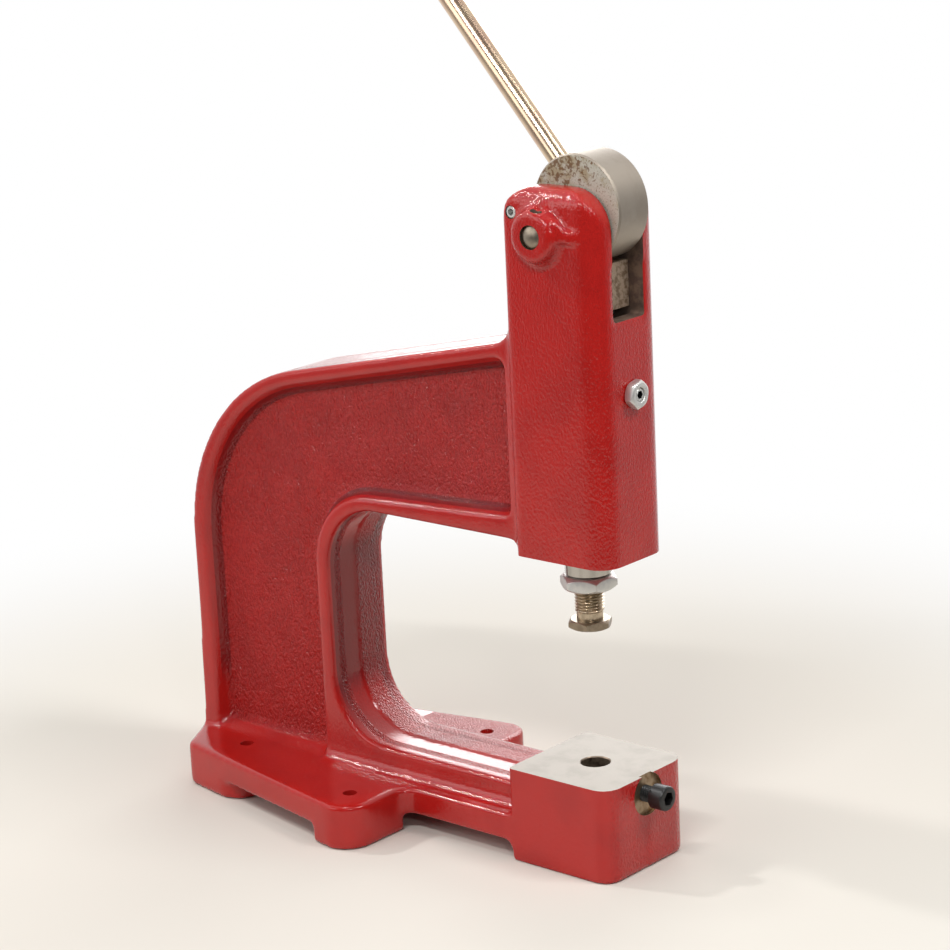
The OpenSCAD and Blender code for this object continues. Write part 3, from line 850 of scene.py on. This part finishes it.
def soft_edges(piece: Piece, width: float, angle: float = 30.0, segments: int = 2) -> None:
    """Breaks the sharp edges of a piece.

    Args:
        piece: The piece.
        width: How far the edges are broken, in mm.
        angle: The angle above which an edge is sharp, in degrees.
        segments: Steps of each rounding.
    """
    def soften(mesh: Shape) -> None:
        """Joins flat faces, then rounds the sharp edges that are left."""
        bmesh.ops.dissolve_limit(mesh, angle_limit=math.radians(1.0), verts=mesh.verts, edges=mesh.edges)
        round_edges(mesh, sharp_edges(mesh, angle), width, segments, clamp=True)

    reshape(piece, soften)


# ---- The casting ----


@dataclass
class Casting:
    """The C-shaped iron frame with its foundry roundings, and its machined faces cut afterwards.

    Lengths are in mm. The heights are above the bench, and the depths are behind the ram's axis.
    """

    voxel: float = 1.15
    rounds: int = 32
    triangles: int = 190000
    slot_width: float = 22.6
    pin_y: float = 2.0
    pin_z: float = 304.0
    anvil_top: float = 46.5
    head_bottom: float = 151.0
    head_top: float = 325.0
    head_front: float = 29.5
    head_back: float = 24.5
    head_half: float = 23.5
    foot_holes: tuple[Point, ...] = ((51.8, 113.5), (30.5, 206.2))
    clamp_z: float = 37.0
    guide_z: float = 230.0
    stop_place: Point = (18.2, 313.1)
    sill: float = 264.3
    sill_radius: float = 2.0
    pocket_floor: float = 245.57
    pocket_rear: float = 16.96
    pocket_inset: float = 8.3
    machining: float = 4.0
    ram_bore_d: float = 22.1
    pin_bore_d: float = 11.1
    screw_bore_d: float = 8.1
    spotface_d: float = 20.8
    die_bore_r: float = 7.0
    die_mouth_r: float = 7.9
    die_bore_floor: float = 8.5
    stop_bores: tuple[Point, ...] = ((6.1, 20.0), (5.1, 30.0))
    foot_bore_d: float = 7.0

    def rough(self) -> Piece:
        """Copies the frame's exact shape and fills everything that was machined after casting.

        Returns:
            One object of overlapping closed shells.
        """
        mesh = bmesh.new()
        mesh.from_mesh(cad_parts["frame"].data)
        bmesh.ops.remove_doubles(mesh, verts=mesh.verts, dist=2e-6)
        half, wide = self.slot_width / 2 + 1, self.head_half
        # Every plug is a little wider than its hole
        fills = [
            # The drum's slot, filled to the head's own side view
            self.cheek_fill(half),
            block((-half, -self.head_front + 1.5, 150), (half, 20, 300)),
            # The head's lower end, left too long so that its bottom edge comes out crisp
            self.upright_block((-wide, -self.head_front, self.head_bottom - self.machining),
                               (wide, self.head_back, 160), 11.0, 3.5),
            # The ram's bore
            place(rod(24, 100), (0, 0, self.head_bottom)),
            # The anvil, left too high so that its top can be ground off
            self.upright_block((-30, -31, 20), (30, 29.5, self.anvil_top + self.machining), 9.0, 1.5),
            # The spotface and hole of the clamp screw
            place(rod(23, 28), (0, -31, self.clamp_z), Axis.BACK),
            # The holes of the guide screw, the pin and the stop screw
            place(rod(10, 12), (0, -self.head_front, self.guide_z), Axis.BACK),
            place(rod(13, 61), (-30.5, self.pin_y, self.pin_z), Axis.RIGHT),
            place(rod(8, 24), (-wide, *self.stop_place), Axis.RIGHT),
        ]
        # The bolt holes in the feet and the oil holes in the bosses
        for side in (-1, 1):
            fills += [place(rod(9, 22.5), (side * out, back, 0)) for out, back in self.foot_holes]
            fills.append(place(rod(7, 5), (side * 26.9, 0, 310)))
        gather(mesh, fills)
        return new_object("casting", mesh, [ENAMEL])

    def cheek_fill(self, half: float) -> Shape:
        """Makes a plate between the cheeks with the head's rounded top, which the slot is cut from.

        Args:
            half: Half the plate's thickness in mm.

        Returns:
            The plate in place.
        """
        front, back, top_z = -self.head_front, self.head_back, self.head_top
        outline = [(front, 290), (back, 290), (back, top_z), (front, top_z)]
        mesh = prism(outline, -half, half)
        top = [edge for edge in mesh.edges if all(abs(v.co.y - self.head_top * MM) < 1e-6 for v in edge.verts)
               and abs(edge.verts[0].co.x - edge.verts[1].co.x) < 1e-6]
        for edge, radius in zip(sorted(top, key=lambda e: e.verts[0].co.x), (20, 17)):
            round_edges(mesh, [edge], radius, 12)
        # From (forward, up, across) to the frame's own axes
        turn = Matrix(((0, 0, 1, 0), (1, 0, 0, 0), (0, 1, 0, 0), (0, 0, 0, 1)))
        bmesh.ops.transform(mesh, matrix=turn, verts=mesh.verts)
        bmesh.ops.recalc_face_normals(mesh, faces=mesh.faces)
        return mesh

    def upright_block(self, low: Sequence[float], high: Sequence[float], front: float, rear: float) -> Shape:
        """Makes a block whose four upright edges are rounded.

        Args:
            low: Its lowest corner in mm.
            high: Its highest corner.
            front: The radius of the two front edges.
            rear: The radius of the two rear edges.

        Returns:
            The block in place.
        """
        mesh = block(low, high)
        middle = (low[1] + high[1]) / 2 * MM
        for radius, ahead in ((front, True), (rear, False)):
            chosen = [edge for edge in mesh.edges
                      if abs(edge.verts[0].co.z - edge.verts[1].co.z) > (high[2] - low[2]) / 2 * MM
                      and (edge.verts[0].co.y < middle) == ahead]
            round_edges(mesh, chosen, radius, 8)
        return mesh

    def softness(self, co: Vector) -> float:
        """Says how far the foundry rounding goes at a place.

        Args:
            co: The place in metres.

        Returns:
            The rounding's share, from 0 to 1.
        """
        x, y, z = co / MM
        head = smooth(34, 26, y) * smooth(146, 152, z)
        anvil = smooth(34, 29, y) * smooth(60, 54, z)
        boss = head * smooth(22.6, 23.6, abs(x)) * smooth(24, 19, math.hypot(y - self.pin_y, z - self.pin_z))
        brim = head * smooth(159, 154, z) * 0.24
        body = 0.62
        return max(0.05 * (1.0 - boss), body - (body - 0.28) * max(head, anvil) - max(0.28 * boss, brim))

    def cast(self, piece: Piece) -> None:
        """Melts the shells into one skin and rounds it as a sand casting is rounded.

        Args:
            piece: The overlapping shells, which become the skin.
        """
        modify(piece, "REMESH", mode="VOXEL", voxel_size=self.voxel * MM, adaptivity=0.0)
        data = piece.data
        log.info("casting skin: %d faces", len(data.polygons))
        levels = 20
        shares: dict[int, list[int]] = {}
        for vert in data.vertices:
            shares.setdefault(round(self.softness(vert.co) * levels), []).append(vert.index)
        group = piece.vertex_groups.new(name="soft")
        for level, members in shares.items():
            group.add(members, level / levels, "REPLACE")
        modify(piece, "SMOOTH", factor=0.5, iterations=self.rounds, vertex_group="soft")
        self.offset_mould(piece.data)
        ratio = min(1.0, self.triangles / (2 * len(piece.data.polygons)))
        modify(piece, "DECIMATE", decimate_type="COLLAPSE", ratio=ratio)

    def offset_mould(self, data: bpy.types.Mesh) -> None:
        """Moves the far mould half's skin round the throat a little, which leaves a step on the parting line.

        Args:
            data: The casting's mesh.
        """
        for vert in data.vertices:
            x, y, z = vert.co / MM
            if x < -2:
                continue
            if y < -28 and z < 48:
                vert.co.y -= 0.25 * MM * smooth(-0.3, 0.5, x) * smooth(24, 20, x) * smooth(46, 40, z)
            if not (29 < y < 156 and 22 < z < 160):
                continue
            inward = max(0.0, vert.normal.z if z < 80 else 0.0, -vert.normal.y)
            wander = 1.1 * noise_at(Vector((0, y, z)) / 13) + 0.5 * noise_at(Vector((7, y, z)) / 3.5)
            across = smooth(-0.4, 0.5, x + wander) * smooth(21.5, 19.0, x)
            share = across * smooth(0.35, 0.8, inward) * smooth(29.0, 34.0, y)
            vert.co += vert.normal * (0.75 * MM * share)

    def machine(self, piece: Piece) -> None:
        """Cuts the faces, slots and bores that are machined after casting.

        Args:
            piece: The casting.
        """
        half = self.slot_width / 2
        front, top = self.head_front, self.anvil_top
        floor, bore_r, mouth_r = self.die_bore_floor, self.die_bore_r, self.die_mouth_r
        die_bore = [(0, floor), (bore_r, floor), (bore_r, top - 0.5), (mouth_r, top + 0.4), (mouth_r, 60),
                    (0, 60)]
        tools: list[tuple[Shape, Finish]] = [
            (block((-40, -45, top), (40, 29.9, top + 14)), ANVIL_FACE),
            (block((-40, -45, self.head_bottom - 12), (40, 29, self.head_bottom)), ENAMEL),
            (self.window(half), SLOT_IRON),
            (block((-half, -(front - self.pocket_inset), self.pocket_floor),
                   (half, self.pocket_rear, self.head_top + 4)), SLOT_IRON),
            (place(rod(self.ram_bore_d, 100, 96), (0, 0, self.head_bottom - 5)), BORE_IRON),
            (place(rod(self.pin_bore_d, 90), (-45, self.pin_y, self.pin_z), Axis.RIGHT), BORE_IRON),
            (place(rod(self.screw_bore_d, 40), (0, -front - 5, self.guide_z), Axis.BACK), BORE_IRON),
            (turned(die_bore), BORE_IRON),
            (place(rod(self.screw_bore_d, 36), (0, -40, self.clamp_z), Axis.BACK), BORE_IRON),
            (place(rod(self.spotface_d, 10.8, 96), (0, -40, self.clamp_z), Axis.BACK), SPOTFACE_IRON),
        ]
        for diameter, length in self.stop_bores:
            tools.append((place(rod(diameter, length), (-30, *self.stop_place), Axis.RIGHT), BORE_IRON))
        for side in (-1, 1):
            for out, back in self.foot_holes:
                tools.append((place(rod(self.foot_bore_d, 40), (side * out, back, -5)), ENAMEL))
            tools.append((place(self.oil_hole(), (side * 27.4, 0, self.pin_z)), SLOT_IRON))
        cutter = new_object("cutter", tools[0][0], [tools[0][1]])
        for tool, finish in tools[1:]:
            combine(cutter, new_object("tool", tool, [finish]), "UNION")
        combine(piece, cutter, "DIFFERENCE")

    def oil_hole(self) -> Shape:
        """Makes the oval tool for the oil hole on top of a boss.

        Returns:
            The tool, standing on Z.
        """
        mesh = rod(6.4, 30, 32)
        bmesh.ops.scale(mesh, vec=(0.55, 1.0, 1.0), verts=mesh.verts)
        return mesh

    def window(self, half: float) -> Shape:
        """Makes the tool that opens the head's front for the drum, with small radii at its sill.

        Args:
            half: Half the window's width in mm.

        Returns:
            The tool in place.
        """
        front = -self.head_front
        mesh = block((-half, front - 6, self.sill), (half, front + 12, self.head_top + 4))
        edges = [edge for edge in mesh.edges if all(abs(v.co.z - self.sill * MM) < 1e-6 for v in edge.verts)
                 and abs(edge.verts[0].co.y - edge.verts[1].co.y) > 1 * MM]
        round_edges(mesh, edges, self.sill_radius, 5)
        return mesh

    def build(self) -> None:
        """Builds the casting and lets it stand for the frame."""
        piece = self.rough()
        self.cast(piece)
        self.machine(piece)
        present(piece, "frame", "press_frame", sharpest=38.0)


def smooth(start: float, end: float, value: float) -> float:
    """Goes smoothly from 0 at start to 1 at end."""
    share = min(1.0, max(0.0, (value - start) / (end - start)))
    return share * share * (3 - 2 * share)


# ---- Drum, pin and lever ----


@dataclass
class LeverDrive:
    """The eccentric drum on its pin, with the lever screwed into it."""

    pin_d: float = 11.0
    pin_rim: float = 29.3
    pin_dome: float = 1.3
    pin_place: tuple[float, float, float] = (0.0, Casting.pin_y, Casting.pin_z)
    drum_place: tuple[float, float, float] = (0.0, -9.34, 314.57)
    drum_d: float = 50.0
    drum_w: float = 21.0
    drum_chamfer: float = 0.8
    lever_d: float = 10.0
    lever_rise: float = 49.0
    lever_seat: float = 10.8

    def build_pin(self) -> None:
        """Turns the pin, whose domed ends sit a little inside the bosses."""
        radius = self.pin_d / 2 - 0.25
        sphere = (radius**2 + self.pin_dome**2) / (2 * self.pin_dome)
        dome = []
        for step in range(9):
            out = radius * step / 8
            dome.append((out, self.pin_rim + self.pin_dome - sphere + math.sqrt(sphere**2 - out**2)))
        edge = [(self.pin_d / 2, self.pin_rim - 0.3)]
        upper = dome + edge
        lower = [(r, -h) for r, h in reversed(upper)]
        shape = place(turned(upper + lower, 96), self.pin_place, Axis.RIGHT)
        pin = new_object("pivot_pin_domed", shape, [PIN_STEEL])
        present(pin, "pivot_pin", "lever_drum")

    def build_drum(self) -> None:
        """Turns the drum and bores it off centre for the pin and radially for the lever."""
        half, radius, edge = self.drum_w / 2, self.drum_d / 2, self.drum_chamfer
        profile = [(0, -half), (radius - edge, -half), (radius, edge - half), (radius, half - edge),
                   (radius - edge, half), (0, half)]
        faces = turned(profile, 160)
        for face in faces.faces:
            face.material_index = 1 if abs(face.normal.z) > 0.9 else 0
        place(faces, self.drum_place, Axis.RIGHT)
        drum = new_object("eccentric_drum_turned", faces, [DRUM_RIM, DRUM_FACE])
        bore(drum, place(rod(self.pin_d + 0.1, 40), (-20, *self.pin_place[1:]), Axis.RIGHT), DRUM_RIM)
        lever = rod(self.lever_d + 0.2, 20)
        bmesh.ops.transform(lever, matrix=self.along_lever(self.lever_seat), verts=lever.verts)
        bore(drum, lever, DRUM_RIM)
        present(drum, "eccentric_drum", "lever_drum", sharpest=20.0)

    def along_lever(self, out: float) -> Matrix:
        """Places a shape made along Z on the lever's axis, out mm from the drum's centre."""
        tilt = Matrix.Rotation(math.radians(self.lever_rise - 90), 4, "X")
        return Matrix.Translation(Vector(self.drum_place) * MM) @ tilt @ Matrix.Translation((0, 0, out * MM))

    def build(self) -> None:
        """Builds the pin and drum and dresses the lever and knob."""
        self.build_pin()
        self.build_drum()
        dress(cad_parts["lever_rod"], YELLOW_ZINC)
        dress(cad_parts["lever_knob"], KNOB_PLASTIC)


def dress(node: Piece, *finishes: Finish) -> None:
    """Gives a carried-over node its finishes.

    Args:
        node: The node, whose shape stays as it is.
        *finishes: One finish for each of its material numbers.
    """
    node.data.materials.clear()
    for finish in finishes:
        node.data.materials.append(finish.material())
    log.info("%s: %s", node.name, ", ".join(finish.name for finish in finishes))


# ---- Ram ----


@dataclass
class RamGroup:
    """The ram with its spring, its lock nut and the hollow screw that holds the upper die."""

    nut_low: float = 133.4
    nut_h: float = 6.8
    nut_across: float = 24.4
    nut_turn: float = -7.0
    screw_low: float = 114.2
    head_high: float = 4.2
    relief_high: float = 4.3
    thread_high: float = 29.5
    thread_d: float = 14.0
    pitch: float = 1.5
    head_across: float = 19.0
    socket_d: float = 8.0

    def build_screw(self) -> None:
        """Builds the die holder screw with a real thread, a relief and a hexagon head."""
        low, neck = self.screw_low, self.screw_low + self.head_high
        start = neck + self.relief_high
        end = start + self.thread_high
        radius = self.thread_d / 2
        shank = threaded_bar(
            [(0, low + 0.5), (radius * 0.9, low + 0.5), (radius * 0.9, start - 0.6), (radius, start),
             (radius, end - 1), (radius - 1, end), (0, end)],
            self.thread_d, self.pitch, start - 0.3, end + 0.3)
        screw = hex_head("die_holder_screw_threaded", self.head_across, low, neck, DIE_HEAD_ZINC)
        reshape(screw, lambda mesh: place(mesh, (0, 0, 0), turn=30))
        combine(screw, new_object("shank", shank, [DIE_SCREW_ZINC]), "UNION")
        bore(screw, place(rod(self.socket_d, 25), (0, 0, low - 5)), BORE_IRON)
        present(screw, "die_holder_screw", "die_holder")

    def build_nut(self) -> None:
        """Builds the lock nut with deeply turned-off corners and a countersunk bore."""
        low, high, bore_r = self.nut_low, self.nut_low + self.nut_h, self.thread_d / 2 + 0.1
        nut = hex_head("die_lock_nut_chamfered", self.nut_across, low, high, WHITE_ZINC, face=0.93,
                       slope=36.0)
        reshape(nut, lambda mesh: place(mesh, (0, 0, 0), turn=self.nut_turn))
        funnel = [(0, low - 1), (bore_r + 1.8, low - 1), (bore_r, low + 0.8), (bore_r, high - 0.8),
                  (bore_r + 1.8, high + 1), (0, high + 1)]
        bore(nut, turned(funnel, 64), WHITE_ZINC)
        soft_edges(nut, 0.3, angle=25.0, segments=3)
        present(nut, "die_lock_nut", "ram_body")

    def build(self) -> None:
        """Builds the screw and nut and dresses the ram and spring."""
        self.build_screw()
        self.build_nut()
        dress(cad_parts["ram"], RAM_STEEL)
        dress(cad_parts["return_spring"], SPRING_WIRE)


# ---- Small screws ----


@dataclass
class SmallScrews:
    """The clamp, guide and stop screws."""

    clamp_z: float = Casting.clamp_z
    clamp_head_front: float = -43.1
    clamp_head_d: float = 12.0
    clamp_head_l: float = 8.0
    clamp_tip: float = -7.4
    clamp_d: float = 8.0
    clamp_pitch: float = 1.25
    guide_d: float = 6.6
    guide_l: float = 22.4
    guide_front: float = -33.9
    guide_z: float = Casting.guide_z
    guide_nut_h: float = 5.0
    guide_nut_across: float = 12.0
    guide_nut_back: float = -29.5
    guide_nut_turn: float = -16.0
    guide_pitch: float = 1.0
    guide_socket: float = 3.5
    clamp_socket: float = 6.08
    clamp_turn: float = 14.0
    socket_depth: float = 4.0
    knurl_teeth: int = 36
    knurl_depth: float = 0.016

    def build_clamp(self) -> None:
        """Builds the cap screw with its socket, knurled head and thread."""
        head, radius = self.clamp_head_d / 2, self.clamp_d / 2
        under = self.clamp_head_l
        end = self.clamp_tip - self.clamp_head_front
        body = threaded_bar(
            [(0, 0), (head - 1.0, 0), (head - 0.35, 0.25), (head, 0.9), (head, under - 0.4),
             (head - 0.4, under), (radius + 0.35, under), (radius - 0.45, under + 0.6), (radius, under + 1.0),
             (radius, end - 0.8), (radius - 0.8, end), (0, end)],
            self.clamp_d, self.clamp_pitch, under + 0.6, end + 0.2, 72)
        screw = new_object("clamp_screw_threaded", body, [SCREW_BLACK])
        socket = prism(hexagon(self.clamp_socket), -1, self.socket_depth)
        bore(screw, place(socket, (0, 0, 0), turn=self.clamp_turn), SCREW_BLACK)
        reshape(screw, self.knurl)
        reshape(screw, lambda mesh: place(mesh, (0, self.clamp_head_front, self.clamp_z), Axis.BACK))
        present(screw, "clamp_screw", "clamp")

    def knurl(self, mesh: Shape) -> None:
        """Rolls a fine straight knurl round the cap screw's head.

        Args:
            mesh: The screw, standing on Z.
        """
        rim = self.clamp_head_d / 2 - 0.2
        for vert in mesh.verts:
            if vert.co.xy.length / MM > rim and 1.2 < vert.co.z / MM < self.clamp_head_l - 0.9:
                wave = math.cos(self.knurl_teeth * math.atan2(vert.co.y, vert.co.x))
                vert.co.xy *= 1 + self.knurl_depth * wave

    def build_guide(self) -> None:
        """Builds the guide screw: a bright set screw with a thread, a turned end and a hexagon socket."""
        radius, length = self.guide_d / 2, self.guide_l
        profile = [(0, 0), (radius - 0.7, 0), (radius, 0.7), (radius, length - 1), (radius - 1, length),
                   (0, length)]
        body = threaded_bar(profile, self.guide_d, self.guide_pitch, 0.6, length)
        screw = new_object("guide_screw_threaded", body, [WHITE_ZINC])
        bore(screw, prism(hexagon(self.guide_socket), -1, self.socket_depth), SCREW_BLACK)
        reshape(screw, lambda mesh: place(mesh, (0, self.guide_front, self.guide_z), Axis.BACK))
        present(screw, "guide_screw", "press_frame")

    def build_guide_nut(self) -> None:
        """Builds the guide screw's thin lock nut, whose corners are deeply turned off."""
        thick, bore_r = self.guide_nut_h, self.guide_d / 2 + 0.05
        nut = hex_head("guide_lock_nut_chamfered", self.guide_nut_across, 0, thick, WHITE_ZINC, face=0.90,
                       slope=34.0)
        funnel = [(0, -1), (bore_r + 1.4, -1), (bore_r, 0.4), (bore_r, thick + 1), (0, thick + 1)]
        bore(nut, turned(funnel, 64), WHITE_ZINC)
        soft_edges(nut, 0.12)
        front = Vector((0, self.guide_nut_back - thick, self.guide_z))
        reshape(nut, lambda mesh: place(mesh, front, Axis.BACK, self.guide_nut_turn))
        present(nut, "guide_lock_nut", "press_frame")

    def build(self) -> None:
        """Builds the clamp and guide screws and the guide's nut, and dresses the stop screw."""
        self.build_clamp()
        self.build_guide()
        self.build_guide_nut()
        dress(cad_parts["stop_screw"], WHITE_ZINC)


# ---- Studio ----


@dataclass(frozen=True)
class Lamp:
    """One soft rectangular lamp, with its place, size and aim in metres and its power in watts."""

    name: str
    place: tuple[float, float, float]
    size: tuple[float, float]
    power: float
    aim: tuple[float, float, float] = (0.0, 0.05, 0.16)

    def hang(self) -> None:
        """Hangs the lamp where the camera doesn't see it."""
        data = bpy.data.lights.new(self.name, "AREA")
        data.shape = "RECTANGLE"
        data.size, data.size_y = self.size
        data.energy = self.power
        lamp = bpy.data.objects.new(self.name, data)
        spot = Vector(self.place)
        turn = (Vector(self.aim) - spot).to_track_quat("-Z", "Y").to_matrix().to_4x4()
        lamp.matrix_world = Matrix.Translation(spot) @ turn
        lamp.visible_camera = False
        bpy.context.scene.collection.objects.link(lamp)


# A window wall on the left, a soft box over the front and a bright backdrop give the level;
# the small lamps give the enamel its sparks
LAMPS = (
    Lamp("window_wall", (-1.18, 0.75, 0.72), (1.3, 0.7), 6.0),
    Lamp("front_box", (0.21, -0.85, 1.24), (0.45, 0.45), 10.0, (0.0, 0.0, 0.16)),
    Lamp("spark_front", (-0.90, -1.00, 0.76), (0.1, 0.1), 1.8),
    Lamp("spark_left", (-0.80, -0.30, 1.08), (0.5, 0.05), 6.2),
    Lamp("spark_rear", (-0.38, 1.07, 1.17), (0.1, 0.1), 6.0),
    Lamp("spark_top", (0.0, 0.25, 1.55), (0.09, 0.09), 1.4),
    Lamp("backdrop", (1.37, 0.775, 0.58), (1.2, 0.8), 15.0, (0.0, 0.06, 0.04)),
)


@dataclass
class Studio:
    """A pale floor, soft lamps, a white surround and the camera."""

    position: tuple[float, float, float] = (-0.9942, -0.8101, 0.5348)
    yaw: float = -48.56
    pitch: float = 15.05
    roll: float = -2.74
    lens: float = 108.75
    bright_side: tuple[float, float, float] = (0.75, 0.66, 0.0)
    floor_radius: float = 0.66

    def camera(self) -> None:
        """Stands the camera a metre and a third from the press, a little above its head."""
        yaw, pitch, roll = (math.radians(a) for a in (self.yaw, self.pitch, self.roll))
        back = Vector((math.sin(yaw) * math.cos(pitch), -math.cos(yaw) * math.cos(pitch), math.sin(pitch)))
        level = Vector((math.cos(yaw), math.sin(yaw), 0))
        upright = back.cross(level)
        right = level * math.cos(roll) + upright * math.sin(roll)
        up = -level * math.sin(roll) + upright * math.cos(roll)
        data = bpy.data.cameras.new("camera")
        data.lens, data.sensor_width = self.lens, 36.0
        data.clip_end = 20
        camera = bpy.data.objects.new("camera", data)
        turn = Matrix((right, up, back)).transposed().to_4x4()
        camera.matrix_world = Matrix.Translation(Vector(self.position)) @ turn
        bpy.context.scene.collection.objects.link(camera)
        bpy.context.scene.camera = camera

    def ray_kinds(self, tree: Tree) -> tuple[Socket, Socket]:
        """Tells the camera's rays and the mirrored ones from the rest.

        Args:
            tree: The tree that gets the nodes.

        Returns:
            1 for the camera's rays, and 1 for the mirrored or refracted ones.
        """
        rays = add_node(tree, "LightPath").node.outputs
        mirrored = add_node(tree, "Math", MAXIMUM, (rays["Is Glossy Ray"], rays["Is Transmission Ray"]))
        return rays["Is Camera Ray"], mirrored

    def surround(self) -> None:
        """Makes the white surround: plain for the camera, darker on the room's side in reflections."""
        world = bpy.data.worlds.new("white_surround")
        bpy.context.scene.world = world
        world.use_nodes = True
        tree = world.node_tree
        tree.nodes.clear()
        way = add_node(tree, "TexCoord", output="Generated")
        toward = add_node(tree, "VectorMath", DOT, (way, self.bright_side), "Value")
        height = add_node(tree, "SeparateXYZ", None, (way,), "Z")
        backdrop = add_node(tree, "MapRange", SMOOTHLY, (toward, -0.6, 0.8, 0.08, 1.03))
        ceiling = add_node(tree, "MapRange", SMOOTHLY, (height, 0.45, 0.95, 0.0, 0.15))
        ambient = add_node(tree, "MapRange", SMOOTHLY, (height, -0.2, 0.8, 0.15, 0.23))
        room = add_node(tree, "Math", ADD, (backdrop, ceiling))
        direct, mirrored = self.ray_kinds(tree)
        # Each kind of ray picks its own strength: mirrored ones the room, the camera's plain white
        strength = ambient
        for chosen, value in ((mirrored, room), (direct, 1.0)):
            change = add_node(tree, "Math", SUBTRACT, (value, strength))
            strength = add_node(tree, "Math", MULTIPLY_ADD, (chosen, change, strength))
        light = add_node(tree, "Background", None, {"Color": (1, 1, 1, 1), "Strength": strength})
        add_node(tree, "OutputWorld", None, {"Surface": light})

    def floor(self) -> None:
        """Lays a pale floor that fades into the white surround."""
        mesh = bmesh.new()
        bmesh.ops.create_circle(mesh, cap_ends=True, segments=96, radius=self.floor_radius)
        bmesh.ops.translate(mesh, verts=mesh.verts, vec=(0.0, 0.1, -0.0002))
        data = bpy.data.meshes.new("floor")
        mesh.to_mesh(data)
        mesh.free()
        floor = bpy.data.objects.new("floor", data)
        bpy.context.scene.collection.objects.link(floor)
        paint = bpy.data.materials.new("pale_floor")
        paint.use_nodes = True
        tree = paint.node_tree
        tree.nodes.clear()
        where = add_node(tree, "TexCoord", output="Object")
        offset = add_node(tree, "VectorMath", SUBTRACT, (where, (0.0, 0.11, 0.0)))
        away = add_node(tree, "VectorMath", LENGTH, (offset,), "Value")
        behind = add_node(tree, "VectorMath", DOT, (where, self.bright_side), "Value")
        direct, mirrored = self.ray_kinds(tree)
        edge = add_node(tree, "MapRange", SMOOTHLY, (away, 0.24, 0.58))
        seen = add_node(tree, "Math", MULTIPLY, (edge, direct))
        far = add_node(tree, "MapRange", SMOOTHLY, (behind, 0.2, 0.5))
        shine = add_node(tree, "Math", MULTIPLY, (far, mirrored))
        share = add_node(tree, "Math", MAXIMUM, (seen, shine))
        matt = add_node(tree, "BsdfDiffuse", None, {"Color": linear("#DAD5CC")})
        white = add_node(tree, "Emission", None, {"Color": (1, 1, 1, 1), "Strength": 1.0})
        surface = add_node(tree, "MixShader", None, (share, matt, white))
        add_node(tree, "OutputMaterial", None, {"Surface": surface})
        data.materials.append(paint)

    def build(self) -> None:
        """Sets up the camera, lamps, surround and floor."""
        scene = bpy.context.scene
        scene.view_settings.view_transform = "Standard"
        self.camera()
        self.surround()
        self.floor()
        for lamp in LAMPS:
            lamp.hang()


def main() -> None:
    """Builds the studio and the press, piece by piece."""
    logging.basicConfig(level=logging.INFO, format="%(name)s: %(message)s")
    Studio().build()
    for part in (Casting(), LeverDrive(), RamGroup(), SmallScrews()):
        part.build()
        log.info("built %s", type(part).__name__)


if __name__ == "__main__":
    main()
